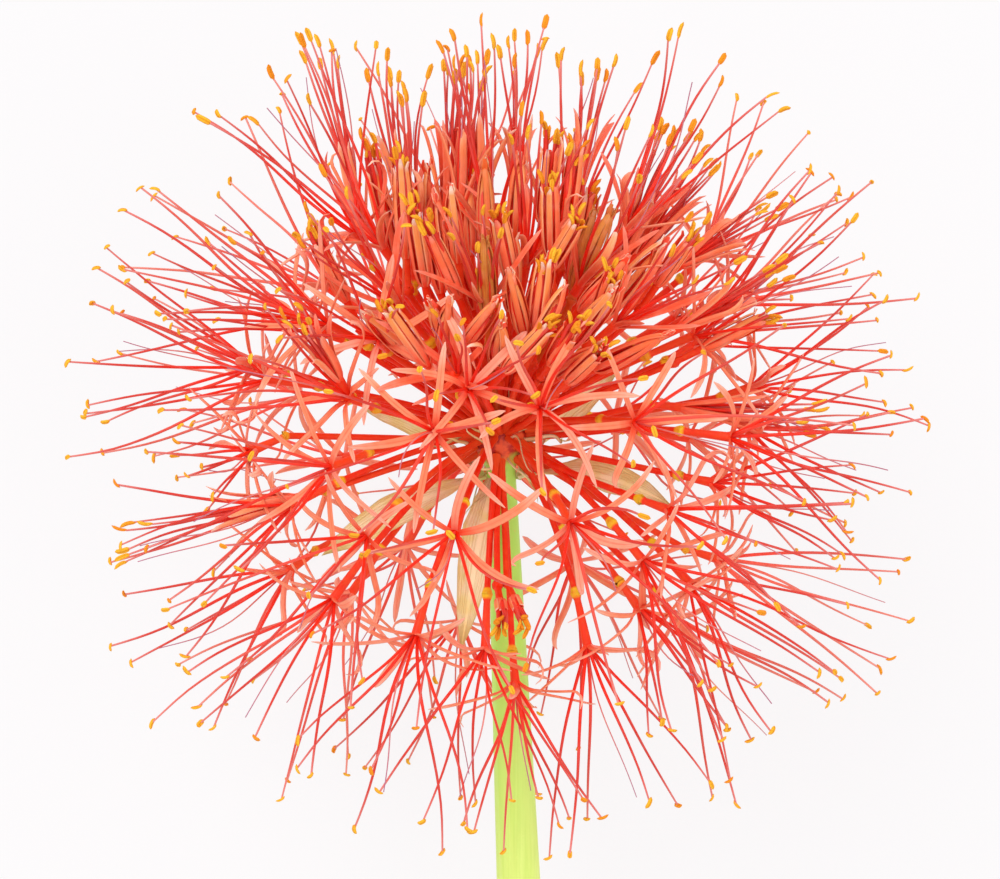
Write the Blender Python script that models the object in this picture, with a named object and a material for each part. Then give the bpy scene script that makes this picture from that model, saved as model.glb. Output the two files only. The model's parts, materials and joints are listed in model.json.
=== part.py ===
"""A cut blood lily lying on its side: scape, papery bracts and an umbel of star-shaped florets.

Units are metres and +Z is up. The surface it lies on is z = 0 and the umbel points along +Y.
Each floret is one solid: stalk, ovary and tube, then six tepals and six stamens round the throat.
"""

import math
import random

import bmesh
import bpy
import numpy as np
from mathutils import Matrix, Vector

MM = 0.001
SEED = 5
GAP = 0.3 * MM  # clearance kept between neighbouring pieces
DOME = 0.1 * MM  # how far a closing fan stands out of its ring

# The whole flower
HEAD_HEIGHT = 64 * MM  # centre of the umbel above the surface
STEM_LENGTH = 215 * MM  # from the centre of the umbel to the cut end
CUT_RADIUS = 5.6 * MM
NECK_RADIUS = 2.9 * MM
STEM_LEAN = 0.042  # sideways drift of the stem per unit length
STEM_BOW = 2.0 * MM
STEM_SIDES = 12
STEM_RINGS = 10
KNOB_RADIUS = 5.9 * MM  # the swollen top of the scape, which carries the stalks
KNOB_RINGS = 6
NECK_DROP = 1.25  # where the neck meets the knob, in knob radii below the centre

# Stalk of a floret: pedicel, ovary and tube
PEDICEL_FOOT_RADIUS = 0.42 * MM
PEDICEL_RADIUS = 0.55 * MM
OVARY_FOOT_RADIUS = 0.7 * MM
OVARY_RADIUS = 1.15 * MM
TUBE_RADIUS = 0.7 * MM
THROAT_RADIUS = 0.9 * MM
HUB_DEPTH = 0.5 * MM
TUBE_LENGTH = 8.5 * MM
OVARY_LENGTH = 3.0 * MM
STALK_ARCH = 0.82  # share of a floret's polar angle at which its stalk leaves the knob
STALK_RADII = (
    PEDICEL_FOOT_RADIUS,
    PEDICEL_RADIUS,
    OVARY_FOOT_RADIUS,
    OVARY_RADIUS,
    TUBE_RADIUS,
    THROAT_RADIUS,
)

# Distance of a throat from the centre of the umbel
OPEN_REACH = (44 * MM, 51 * MM)
BRUSH_REACH = 40 * MM
BUD_REACH = (31 * MM, 38 * MM)

# Strands that leave the throat; angles are taken from the plane square to the floret's axis
WHORL = 6
SEARCH_TRIES = 60
TEPAL_LENGTH = (16 * MM, 22 * MM)
TEPAL_STATIONS = (0.0, 0.33, 0.7, 1.0)
TEPAL_HALF_WIDTHS = (0.45 * MM, 0.85 * MM, 0.72 * MM, 0.1 * MM)
TEPAL_HALF_THICKNESS = 0.22 * MM
TEPAL_OPEN_ANGLES = (math.radians(22), math.radians(-12))
TEPAL_SHUT_ANGLES = (math.radians(72), math.radians(66))

STAMEN_LENGTH = (37 * MM, 46 * MM)
STAMEN_STATIONS = (0.0, 0.4, 0.72, 0.94, 1.0)
STAMEN_RADII = (0.4 * MM, 0.34 * MM, 0.3 * MM, 0.62 * MM, 0.1 * MM)
STAMEN_SHUT_CONE = math.radians(8)
STAMEN_OPEN_CONE = math.radians(32)
YOUNGEST_STAMENS = 0.5  # length of the stamens of the youngest half-open florets, against grown ones
PILE_HEIGHT = 6 * MM  # how high stamens lie over each other on the surface

BUD_LENGTH = (20 * MM, 27 * MM)
BUD_STATIONS = (0.0, 0.28, 0.6, 0.88, 1.0)
BUD_RADII = (0.9 * MM, 1.75 * MM, 1.9 * MM, 1.2 * MM, 0.1 * MM)
BUD_TRIES = 20

# Where the florets stand. Throats on the viewer's side are (across, along) from the centre, in mm
FACING_THROATS = (
    (-13, 1), (-34, -6), (-9, -19), (-43, -14), (-34, -33), (-17, -40), (-3, -43), (14, -17),
    (18, -43), (29, -25), (39, -30), (-35, 23), (-48, 12), (26, 43), (40, 21), (47, 0),
    (27, 3), (-24, 39), (-27, -20), (8, 6),
)
OPEN_FLORETS = 35
BRUSH_FLORETS = 8  # half open, their stamens still together
BUDS = 10
BRUSH_SPREAD = 0.3
CROWN_AXIS = (0.05, 0.78, 0.62)  # across, along, facing: where the last florets are still to open
CROWN_ANGLE = math.radians(38)
OPENING_ANGLE = math.radians(35)  # from the crown's edge to where florets are fully open
LEAST_OPEN = 0.45
LOWEST_POLAR = math.radians(150)
DRAWS = 400

# Bracts: (across, along, facing) of the tip from the centre of the umbel, and half width, in mm
BRACTS = (
    ((-37, -24, 8), 3.2),
    ((-8, -44, 16), 2.9),
    ((36, -12, 14), 3.0),
    ((33, 20, -14), 3.1),
    ((8, -36, -26), 2.6),
    ((-31, 5, -20), 2.8),
)
BRACT_STATIONS = (0.0, 0.09, 0.18, 0.4, 0.62, 0.84, 1.0)
BRACT_WIDTHS = (0.38, 0.52, 0.7, 1.0, 0.92, 0.55, 0.04)
BRACT_HALF_THICKNESS = 0.25 * MM
BRACT_SEAT = 8.5 * MM  # below the centre of the umbel
BRACT_ARCH = (2 * MM, 9 * MM)
BRACT_TWIST = 1.1  # how far the blade turns from lying square to the stem to facing the viewer
BRACT_STRAY = 5 * MM  # how far a tip may be moved to find room between the stalks
BRACT_TRIES = 150

SLOPE = math.asin((HEAD_HEIGHT - CUT_RADIUS) / STEM_LENGTH)
ACROSS = Vector((1, 0, 0))
ALONG = Vector((0, math.cos(SLOPE), math.sin(SLOPE)))
FACING = Vector((0, -math.sin(SLOPE), math.cos(SLOPE)))
CENTRE = Vector((0, 0, HEAD_HEIGHT))


def clear_scene():
    for obj in list(bpy.data.objects):
        bpy.data.objects.remove(obj)


def toward(across, along, facing):
    return ACROSS * across + ALONG * along + FACING * facing


def mix(start, end, share):
    return start + (end - start) * share


def quadratic(start, bend, end, t):
    return start.lerp(bend, t).lerp(bend.lerp(end, t), t)


def turned(vector, axis, angle):
    return Matrix.Rotation(angle, 3, axis) @ vector


def unit_vector(rng):
    return Vector((rng.gauss(0, 1), rng.gauss(0, 1), rng.gauss(0, 1))).normalized()


def tangent_at(path, index):
    before = path[max(index - 1, 0)]
    after = path[min(index + 1, len(path) - 1)]
    return (after - before).normalized()


class Space:
    """The capsules already placed, which a new path has to stay clear of."""

    def __init__(self):
        self.start = np.zeros((0, 3))
        self.end = np.zeros((0, 3))
        self.radius = np.zeros(0)
        self.owner = np.zeros(0, int)
        self.root = np.zeros(0, bool)

    def add(self, path, radii, owner, rooted=False):
        """Adds a path's segments; a rooted path grows out of its owner's other paths."""
        points = np.array([tuple(point) for point in path])
        first = np.arange(len(path) - 1) == 0
        self.start = np.vstack([self.start, points[:-1]])
        self.end = np.vstack([self.end, points[1:]])
        self.radius = np.append(self.radius, np.maximum(radii[:-1], radii[1:]))
        self.owner = np.append(self.owner, np.full(len(first), owner))
        self.root = np.append(self.root, first & rooted)

    def clearance(self, path, radii, owner):
        """Least distance from the path's surface to what is placed, roots of one owner apart."""
        points = np.array([tuple(point) for point in path])
        step = (points[1:] - points[:-1])[:, None]
        other = (self.end - self.start)[None]
        between = points[:-1][:, None] - self.start[None]
        a = np.sum(step * step, axis=2)
        b = np.sum(step * other, axis=2)
        c = np.sum(step * between, axis=2)
        e = np.sum(other * other, axis=2)
        f = np.sum(other * between, axis=2)
        s = np.clip((b * f - c * e) / np.maximum(a * e - b * b, 1e-18), 0, 1)
        t = np.clip((b * s + f) / e, 0, 1)
        s = np.clip((b * t - c) / a, 0, 1)
        apart = between + step * s[..., None] - other * t[..., None]
        reach = np.maximum(radii[:-1], radii[1:])[:, None] + self.radius[None]
        free = np.linalg.norm(apart, axis=2) - reach
        mine = self.owner[None] == owner
        first = (np.arange(len(path) - 1) == 0)[:, None]
        free[mine & (self.root[None] | first)] = np.inf
        return free.min(initial=np.inf)


class Floret:
    """The line of a floret's stalk, the frame at its throat, and the strands that leave it."""

    def __init__(self, number, direction, reach, spread):
        self.number = number
        self.direction = direction
        self.spread = spread
        self.stalk = stalk_path(direction, reach)
        self.axis = (self.stalk[-1] - self.stalk[-2]).normalized()
        self.radial = self.axis.orthogonal().normalized()
        self.strands = []

    def is_bud(self):
        return self.spread == 0


def stalk_path(direction, reach):
    """From the knob to the throat: foot, middle and end of the pedicel, ovary, tube's two ends."""
    polar = direction.angle(ALONG)
    hinge = ALONG.cross(direction).normalized()
    base = turned(ALONG, hinge, polar * STALK_ARCH)
    start = CENTRE + base * (KNOB_RADIUS + GAP)
    throat = CENTRE + direction * reach
    bend = CENTRE + (base + direction).normalized() * reach / 2
    length = (throat - start).length
    ovary_end = 1 - TUBE_LENGTH / length
    ovary_start = ovary_end - OVARY_LENGTH / length
    ovary_middle = (ovary_start + ovary_end) / 2
    stations = (0, ovary_start / 2, ovary_start, ovary_middle, ovary_end, 1)
    return [quadratic(start, bend, throat, station) for station in stations]


def walk(start, axis, radial, length, stations, rises, turn):
    """A path that leaves along radial, raised out of the plane square to axis by rises."""
    points = [start]
    for low, high in zip(stations, stations[1:]):
        share = (low + high) / 2
        rise = mix(rises[0], rises[1], share)
        heading = turned(radial, axis, turn * share)
        step = heading * math.cos(rise) + axis * math.sin(rise)
        points.append(points[-1] + step * length * (high - low))
    return points


def settle(path, radii, lift):
    """Bends a path that would sink into the surface so that it runs along it, as long as before."""
    points = [path[0]]
    for before, after, radius in zip(path, path[1:], radii[1:]):
        step = after - before
        point = points[-1] + step
        lowest = radius + lift
        if point.z < lowest:
            rise = max(lowest - points[-1].z, -step.length)
            run = math.sqrt(max(step.length_squared - rise * rise, 0))
            point = points[-1] + Vector((step.x, step.y, 0)).normalized() * run
            point.z = points[-1].z + rise
        points.append(point)
    return points


def find_clear(space, owner, radii, draw, tries):
    """The first drawn path that keeps the gap, or the one that comes nearest to it."""
    best_free = -np.inf
    best_path = None
    for attempt in range(tries):
        path = draw(attempt / tries)
        free = space.clearance(path, np.array(radii), owner)
        if free > best_free:
            best_free = free
            best_path = path
        if free > GAP:
            break
    return best_path


def farthest_direction(rng, taken, allowed, reach, space):
    """Of many random directions, the allowed one farthest from those taken whose stalk has room."""
    drawn = [direction for direction in (unit_vector(rng) for _ in range(DRAWS)) if allowed(direction)]
    drawn.sort(key=lambda direction: -min(direction.angle(other) for other in taken))
    for direction in drawn:
        if space.clearance(stalk_path(direction, reach), np.array(STALK_RADII), 0) > GAP:
            return direction
    return drawn[0]


def facing_direction(across, along, rng):
    """Direction and reach of a throat whose place is known as seen by the viewer."""
    flat = math.hypot(across, along) * MM
    reach = max(rng.uniform(*OPEN_REACH), flat + 1 * MM)
    rise = math.sqrt(reach * reach - flat * flat)
    return toward(across * MM, along * MM, rise).normalized(), reach


def in_crown(direction):
    return direction.angle(toward(*CROWN_AXIS)) < CROWN_ANGLE


def outside_crown(direction):
    return not in_crown(direction) and direction.angle(ALONG) < LOWEST_POLAR


def spread_at(direction, rng):
    """Florets open from the rim of the umbel inwards: those by the crown are still narrow."""
    past = direction.angle(toward(*CROWN_AXIS)) - CROWN_ANGLE
    spread = LEAST_OPEN + past / OPENING_ANGLE + rng.uniform(-0.12, 0.12)
    return min(max(spread, LEAST_OPEN), 1.0)


def add_floret(florets, space, direction, reach, spread):
    floret = Floret(len(florets) + 1, direction, reach, spread)
    florets.append(floret)
    space.add(floret.stalk, np.array(STALK_RADII), floret.number)


def add_facing_florets(rng, florets, space):
    for across, along in FACING_THROATS:
        direction, reach = facing_direction(across, along, rng)
        add_floret(florets, space, direction, reach, spread_at(direction, rng))


def add_other_florets(rng, florets, space):
    """The crown first, then the rest, each as far as it can be from those already there."""
    for index in range(BUDS + BRUSH_FLORETS):
        is_brush = index % 2 == 1 and index < 2 * BRUSH_FLORETS
        reach = BRUSH_REACH if is_brush else rng.uniform(*BUD_REACH)
        taken = [floret.direction for floret in florets]
        direction = farthest_direction(rng, taken, in_crown, reach, space)
        add_floret(florets, space, direction, reach, BRUSH_SPREAD if is_brush else 0)
    while len(florets) < OPEN_FLORETS + BRUSH_FLORETS + BUDS:
        reach = rng.uniform(*OPEN_REACH)
        taken = [floret.direction for floret in florets]
        direction = farthest_direction(rng, taken, outside_crown, reach, space)
        add_floret(florets, space, direction, reach, spread_at(direction, rng))


def tepal_drawer(rng, floret, whorl_angle):
    """Returns a function that draws one tepal's path, wilder and at last shorter with effort."""
    length = rng.uniform(*TEPAL_LENGTH)

    def draw(effort):
        loose = 0.25 + effort
        radial = turned(floret.radial, floret.axis, whorl_angle + rng.uniform(-0.25, 0.25) * loose)
        start = floret.stalk[-1] + radial * THROAT_RADIUS * 0.8 - floret.axis * HUB_DEPTH / 2
        rise = mix(TEPAL_SHUT_ANGLES[0], TEPAL_OPEN_ANGLES[0], floret.spread)
        fall = mix(TEPAL_SHUT_ANGLES[1], TEPAL_OPEN_ANGLES[1], floret.spread)
        rises = (rise + rng.uniform(-0.3, 0.3) * loose, fall + rng.uniform(-0.7, 0.7) * loose)
        cut_back = 1 - 0.45 * max(effort - 0.6, 0)
        turn = rng.uniform(-0.5, 0.5)
        path = walk(start, floret.axis, radial, length * cut_back, TEPAL_STATIONS, rises, turn)
        return settle(path, TEPAL_HALF_WIDTHS, 0)

    return draw


def stamen_growth(floret):
    """How long a floret's stamens have grown: the half-open ones nearest the viewer are the youngest."""
    if floret.spread > BRUSH_SPREAD:
        return 1.0
    return min(max(1.15 - 0.8 * floret.direction.dot(FACING), YOUNGEST_STAMENS), 1.0)


def stamen_drawer(rng, floret, whorl_angle):
    """As tepal_drawer, for a stamen: steeper, longer and nearly straight."""
    length = rng.uniform(*STAMEN_LENGTH) * stamen_growth(floret)

    def draw(effort):
        loose = 0.25 + effort
        radial = turned(floret.radial, floret.axis, whorl_angle + rng.uniform(-0.45, 0.45) * loose)
        start = floret.stalk[-1] + radial * THROAT_RADIUS * 0.45
        cone = mix(STAMEN_SHUT_CONE, STAMEN_OPEN_CONE, floret.spread)
        rise = math.pi / 2 - cone * rng.uniform(1.0, 1.25)
        fall = math.pi / 2 - cone * rng.uniform(0.5, 1.0)
        rises = (rise + rng.uniform(-0.15, 0.15) * loose, fall + rng.uniform(-0.25, 0.25) * loose)
        cut_back = 1 - 0.4 * max(effort - 0.6, 0)
        turn = rng.uniform(-0.4, 0.4)
        path = walk(start, floret.axis, radial, length * cut_back, STAMEN_STATIONS, rises, turn)
        return settle(path, STAMEN_RADII, rng.uniform(0, PILE_HEIGHT) * max(effort - 0.1, 0))

    return draw


def bud_drawer(rng, floret):
    """As tepal_drawer, for the one body of a closed perianth, bent a little from the stalk."""
    length = rng.uniform(*BUD_LENGTH)

    def draw(effort):
        radial = turned(floret.radial, floret.axis, rng.uniform(0, math.tau))
        rise = math.radians(86) - rng.uniform(0, 0.25) * effort
        fall = math.radians(76) - rng.uniform(0, 0.35) * effort
        return walk(floret.stalk[-1], floret.axis, radial, length, BUD_STATIONS, (rise, fall), 0.3)

    return draw


def grow_whorls(rng, florets, space, kind, drawer, radii):
    """Finds room for six strands of one kind on each open floret."""
    for floret in florets:
        if floret.is_bud():
            continue
        for index in range(WHORL):
            angle = (index + 0.5) * math.tau / WHORL
            path = find_clear(space, floret.number, radii, drawer(rng, floret, angle), SEARCH_TRIES)
            space.add(path, np.array(radii), floret.number, rooted=True)
            floret.strands.append((kind, index, path))


def grow_strands(rng, florets, space):
    """Buds first, then every tepal, then every stamen."""
    for floret in florets:
        if floret.is_bud():
            path = find_clear(space, floret.number, BUD_RADII, bud_drawer(rng, floret), BUD_TRIES)
            space.add(path, np.array(BUD_RADII), floret.number, rooted=True)
            floret.strands.append(("bud", 0, path))
    grow_whorls(rng, florets, space, "tepal", tepal_drawer, TEPAL_HALF_WIDTHS)
    grow_whorls(rng, florets, space, "stamen", stamen_drawer, STAMEN_RADII)


def stem_point(distance):
    """Middle of the stem at a distance below the centre of the umbel."""
    bow = STEM_BOW * math.sin(math.pi * distance / STEM_LENGTH)
    return CENTRE + toward(STEM_LEAN * distance, -distance, -bow)


def stem_radius(distance):
    share = max(distance - KNOB_RADIUS, 0) / (STEM_LENGTH - KNOB_RADIUS)
    return mix(NECK_RADIUS, CUT_RADIUS, math.sin(share * math.pi / 2))


def add_stem_to(space):
    distances = np.linspace(KNOB_RADIUS * 2, STEM_LENGTH, STEM_RINGS)
    path = [stem_point(distance) for distance in distances]
    space.add(path, np.array([stem_radius(distance) for distance in distances]), 0)


def bract_path(tip, arch):
    """From its seat under the knob, out and over to the tip."""
    outward = tip - CENTRE
    outward = (outward - ALONG * outward.dot(ALONG)).normalized()
    seat = stem_point(BRACT_SEAT) + outward * (stem_radius(BRACT_SEAT) + GAP + BRACT_HALF_THICKNESS)
    bend = seat.lerp(tip, 0.45) + ALONG * arch
    return [quadratic(seat, bend, tip, station) for station in BRACT_STATIONS]


def bract_across(path, index):
    """Unit direction of the blade's width."""
    broadside = FACING if (path[-1] - path[0]).dot(FACING) > 0 else -FACING
    normal = ALONG.lerp(broadside, min(BRACT_TWIST * BRACT_STATIONS[index], 1))
    return tangent_at(path, index).cross(normal).normalized()


def bract_capsules(path, half_width):
    """A flat bract as three thin capsules side by side: (path, radii) of each."""
    widths = np.array(BRACT_WIDTHS) * half_width
    radii = np.maximum(widths * 0.35, BRACT_HALF_THICKNESS)
    for side in (-0.7, 0.0, 0.7):
        moved = [point + bract_across(path, index) * widths[index] * side for index, point in enumerate(path)]
        yield moved, radii


def place_bracts(rng, space):
    """Each bract near its own place, moved until it clears the stalks and the other bracts."""
    placed = []
    for number, (tip, half_width) in enumerate(BRACTS):
        owner = -1 - number
        best_free = -np.inf
        for attempt in range(BRACT_TRIES):
            stray = unit_vector(rng) * BRACT_STRAY * attempt / SEARCH_TRIES
            path = bract_path(CENTRE + toward(*tip) * MM + stray, rng.uniform(*BRACT_ARCH))
            capsules = list(bract_capsules(path, half_width * MM))
            free = min(space.clearance(side, radii, owner) for side, radii in capsules)
            if free > best_free:
                best_free = free
                best = (path, capsules)
            if free > GAP:
                break
        for side, radii in best[1]:
            space.add(side, radii, owner)
        placed.append((best[0], half_width * MM))
    return placed


def band(bm, low, high):
    """Quads between two rings of equal count."""
    count = len(low)
    for index in range(count):
        after = (index + 1) % count
        bm.faces.new((low[index], low[after], high[after], high[index]))


def blade_band(bm, low, high):
    """Two flat rings joined with triangles, both broad faces cut along the same diagonal."""
    for a, b in ((0, 1), (3, 2)):
        bm.faces.new((low[a], low[b], high[b]))
        bm.faces.new((low[a], high[b], high[a]))
    for a, b in ((1, 2), (3, 0)):
        bm.faces.new((low[a], low[b], high[b], high[a]))


def fan(bm, ring, point):
    """Closes a ring onto one point."""
    tip = bm.verts.new(point)
    for index, vert in enumerate(ring):
        bm.faces.new((vert, ring[(index + 1) % len(ring)], tip))


def round_ring(bm, centre, normal, start, radius, sides):
    spoke = (start - normal * start.dot(normal)).normalized() * radius
    return [bm.verts.new(centre + turned(spoke, normal, math.tau * side / sides)) for side in range(sides)]


def flat_ring(bm, centre, tangent, across, half_width, half_thickness):
    """Four corners of a blade, lower side first."""
    wide = (across - tangent * across.dot(tangent)).normalized() * half_width
    thick = tangent.cross(wide).normalized() * half_thickness
    corners = (-wide - thick, wide - thick, wide + thick, -wide + thick)
    return [bm.verts.new(centre + corner) for corner in corners]


def needle_ring(bm, centre, tangent, across, radius):
    """Three corners of a filament or anther, the two outer ones first."""
    wide = (across - tangent * across.dot(tangent)).normalized()
    outward = wide.cross(tangent) * radius
    wide = wide * radius * math.sqrt(3) / 2
    corners = (outward / 2 - wide, outward / 2 + wide, -outward)
    return [bm.verts.new(centre + corner) for corner in corners]


def tube_rings(bm, path, radii, start, sides):
    """Rings along a path, each square to it, with bands between them."""
    rings = [
        round_ring(bm, point, tangent_at(path, index), start, radii[index], sides)
        for index, point in enumerate(path)
    ]
    for low, high in zip(rings, rings[1:]):
        band(bm, low, high)
    return rings


def grow_strand(bm, opening, path, new_ring):
    """Carries an opening along the path, one new ring at each inner point, to a closed tip."""
    ring = opening
    for index in range(1, len(path) - 1):
        after = new_ring(index, tangent_at(path, index))
        band(bm, ring, after)
        ring = after
    fan(bm, ring, path[-1])


def build_stalk(bm, floret):
    """Pedicel, ovary and tube; returns the lower ring of the throat."""
    rings = tube_rings(bm, floret.stalk[:-1], STALK_RADII, floret.radial, WHORL)
    fan(bm, rings[0][::-1], floret.stalk[0] - tangent_at(floret.stalk, 0) * DOME)
    low = floret.stalk[-1] - floret.axis * HUB_DEPTH
    throat = round_ring(bm, low, floret.axis, floret.radial, THROAT_RADIUS, WHORL)
    band(bm, rings[-1], throat)
    return throat


def build_open_floret(bm, floret):
    """Tepals grow from the sides of the hub and stamens from its top."""
    throat = build_stalk(bm, floret)
    rim = round_ring(bm, floret.stalk[-1], floret.axis, floret.radial, THROAT_RADIUS * 0.9, WHORL)
    middle = bm.verts.new(floret.stalk[-1] + floret.axis * DOME)
    for kind, index, path in floret.strands:
        after = (index + 1) % WHORL
        side = rim[after].co - rim[index].co
        if kind == "tepal":
            opening = [throat[index], throat[after], rim[after], rim[index]]
            grow_strand(bm, opening, path, lambda at, tangent: flat_ring(
                bm, path[at], tangent, side, TEPAL_HALF_WIDTHS[at], TEPAL_HALF_THICKNESS))
        else:
            opening = [rim[index], rim[after], middle]
            grow_strand(bm, opening, path, lambda at, tangent: needle_ring(
                bm, path[at], tangent, side, STAMEN_RADII[at]))


def build_bud(bm, floret):
    throat = build_stalk(bm, floret)
    path = floret.strands[0][2]
    rings = tube_rings(bm, path[1:-1], BUD_RADII[1:-1], floret.radial, WHORL)
    band(bm, throat, rings[0])
    fan(bm, rings[-1], path[-1])


def build_scape(bm):
    """The stem from its cut end up to the knob that carries the stalks."""
    neck = KNOB_RADIUS * NECK_DROP
    distances = [mix(STEM_LENGTH, neck, ring / STEM_RINGS) for ring in range(STEM_RINGS + 1)]
    path = [stem_point(distance) for distance in distances]
    radii = [stem_radius(distance) for distance in distances]
    for ring in range(KNOB_RINGS):
        height = -math.cos(math.pi * (ring + 1.2) / (KNOB_RINGS + 0.7))
        path.append(CENTRE + ALONG * KNOB_RADIUS * height)
        radii.append(KNOB_RADIUS * math.sqrt(1 - height * height))
    rings = tube_rings(bm, path, radii, ACROSS, STEM_SIDES)
    fan(bm, rings[0][::-1], path[0] - tangent_at(path, 0) * DOME)
    fan(bm, rings[-1], path[-1] + ALONG * DOME)


def build_bract(bm, path, half_width):
    rings = [
        flat_ring(bm, point, tangent_at(path, index), bract_across(path, index),
                  half_width * BRACT_WIDTHS[index], BRACT_HALF_THICKNESS)
        for index, point in enumerate(path[:-1])
    ]
    for low, high in zip(rings, rings[1:]):
        blade_band(bm, low, high)
    fan(bm, rings[0][::-1], path[0] - tangent_at(path, 0) * DOME)
    fan(bm, rings[-1], path[-1])


def material(name, colour, roughness):
    made = bpy.data.materials.new(name)
    made.use_nodes = True
    shader = made.node_tree.nodes["Principled BSDF"]
    shader.inputs["Base Color"].default_value = (*colour, 1)
    shader.inputs["Roughness"].default_value = roughness
    shader.inputs["Metallic"].default_value = 0
    return made


def add_object(name, finish, flower, build, *args):
    """One named solid, built into its own mesh and parented to the flower."""
    bm = bmesh.new()
    build(bm, *args)
    bmesh.ops.recalc_face_normals(bm, faces=bm.faces)
    mesh = bpy.data.meshes.new(name)
    bm.to_mesh(mesh)
    bm.free()
    mesh.shade_smooth()
    mesh.set_sharp_from_angle(angle=math.radians(50))
    mesh.materials.append(finish)
    obj = bpy.data.objects.new(name, mesh)
    obj.parent = flower
    bpy.context.scene.collection.objects.link(obj)


def centre_on_origin(flower):
    """Moves the flower so that the middle of its footprint is the origin."""
    corners = np.array([tuple(vert.co) for obj in flower.children for vert in obj.data.vertices])
    low = corners.min(axis=0)
    high = corners.max(axis=0)
    flower.location = (-(low[0] + high[0]) / 2, -(low[1] + high[1]) / 2, -low[2])


def main():
    clear_scene()
    rng = random.Random(SEED)
    space = Space()
    add_stem_to(space)
    florets = []
    add_facing_florets(rng, florets, space)
    bracts = place_bracts(rng, space)
    add_other_florets(rng, florets, space)
    grow_strands(rng, florets, space)

    flower = bpy.data.objects.new("flower", None)
    bpy.context.scene.collection.objects.link(flower)
    add_object("scape", material("scape", (0.45, 0.72, 0.18), 0.45), flower, build_scape)
    papery = material("bract", (0.66, 0.52, 0.25), 0.8)
    for number, (path, half_width) in enumerate(bracts, start=1):
        add_object(f"bract_{number}", papery, flower, build_bract, path, half_width)
    red = material("floret", (0.9, 0.12, 0.04), 0.5)
    salmon = material("bud", (0.85, 0.3, 0.12), 0.5)
    for floret in florets:
        if floret.is_bud():
            add_object(f"bud_{floret.number:02d}", salmon, flower, build_bud, floret)
        else:
            add_object(f"floret_{floret.number:02d}", red, flower, build_open_floret, floret)
    centre_on_origin(flower)


main()
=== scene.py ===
"""Cut blood lily: a globe of red star florets on a smooth green stem, lying on its side."""
import json
import math
from functools import partialmethod

import bmesh
import bpy
import numpy as np
from mathutils import Matrix, Vector

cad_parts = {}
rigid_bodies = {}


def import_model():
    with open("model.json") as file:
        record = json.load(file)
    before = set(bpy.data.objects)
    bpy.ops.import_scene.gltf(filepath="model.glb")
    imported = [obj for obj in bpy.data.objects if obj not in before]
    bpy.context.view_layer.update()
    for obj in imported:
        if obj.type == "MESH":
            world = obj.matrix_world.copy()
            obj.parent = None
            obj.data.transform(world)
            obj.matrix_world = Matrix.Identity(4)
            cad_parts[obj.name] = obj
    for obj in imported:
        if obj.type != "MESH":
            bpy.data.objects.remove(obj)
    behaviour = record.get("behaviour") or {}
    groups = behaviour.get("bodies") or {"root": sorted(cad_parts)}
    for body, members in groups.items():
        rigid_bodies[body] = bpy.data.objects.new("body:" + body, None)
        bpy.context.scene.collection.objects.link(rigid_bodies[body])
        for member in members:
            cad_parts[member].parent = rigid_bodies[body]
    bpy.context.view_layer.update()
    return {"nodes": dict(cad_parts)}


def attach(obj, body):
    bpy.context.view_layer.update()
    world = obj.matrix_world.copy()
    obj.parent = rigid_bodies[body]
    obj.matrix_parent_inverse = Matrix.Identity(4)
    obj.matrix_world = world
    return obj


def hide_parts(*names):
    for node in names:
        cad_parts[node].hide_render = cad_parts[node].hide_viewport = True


bl_info = {
    "name": "Blood Lily",
    "version": (1, 0, 0),
    "blender": (4, 5, 0),
    "location": "View3D > Sidebar > Blood Lily",
    "description": "Builds the look of a cut blood lily on its packed solids",
    "category": "Add Mesh",
}

MM = 0.001
SEED = 11
MAP_NAME = "OFBake"

for leftover in list(bpy.data.objects):
    bpy.data.objects.remove(leftover)

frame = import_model()
FLORETS, BUDS, BRACTS = (
    [name for name in sorted(frame["nodes"]) if name.startswith(kind)] for kind in ("floret", "bud", "bract"))


# ---------- reading the solids


def unit(vectors):
    vectors = np.asarray(vectors, float)
    return vectors / np.maximum(np.linalg.norm(vectors, axis=-1, keepdims=True), 1e-12)


def tangents_of(path):
    return unit(np.gradient(path, axis=0))


def read_all(items, field, width=1, kind=np.float32):
    """One value, or one row of them, from every item of a Blender list."""
    values = np.empty(len(items) * width, kind)
    items.foreach_get(field, values)
    return values.reshape(-1, width) if width > 1 else values


def solid_mesh(node):
    """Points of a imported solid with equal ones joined, its triangles and each point's neighbours."""
    mesh = frame["nodes"][node].data
    mesh.calc_loop_triangles()
    points = np.round(read_all(mesh.vertices, "co", 3).astype(float), 7)
    points, joined_to = np.unique(points, axis=0, return_inverse=True)
    triangles = joined_to.reshape(-1)[read_all(mesh.loop_triangles, "vertices", 3, np.int32)]
    neighbours = [set() for _ in points]
    for triangle in triangles.tolist():
        for point in triangle:
            neighbours[point] |= set(triangle) - {point}
    return points, triangles, neighbours


def angle_sums(points, triangles):
    """Total of the face angles at each point: small at a sharp tip, a full turn on a flat."""
    sums = np.zeros(len(points))
    for at in range(3):
        here, one, other = (points[triangles[:, (at + step) % 3]] for step in range(3))
        angles = np.arccos(np.clip((unit(one - here) * unit(other - here)).sum(axis=1), -1, 1))
        np.add.at(sums, triangles[:, at], angles)
    return sums


def rings_from(start, neighbours, count):
    """The start point and the rings of points that follow it along a strand."""
    seen = {start}
    rings = [[start]]
    for _ in range(count):
        ring = sorted({near for point in rings[-1] for near in neighbours[point]} - seen)
        if not ring:
            break
        seen.update(ring)
        rings.append(ring)
    return rings


def middles(points, rings):
    return np.array([points[ring].mean(axis=0) for ring in rings])


def flat_axis(corners):
    """Direction of the long side of a flat ring, and half its length."""
    offsets = corners - corners.mean(axis=0)
    side = np.linalg.svd(offsets)[2][0]
    return side, np.abs(offsets @ side).max()


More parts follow.
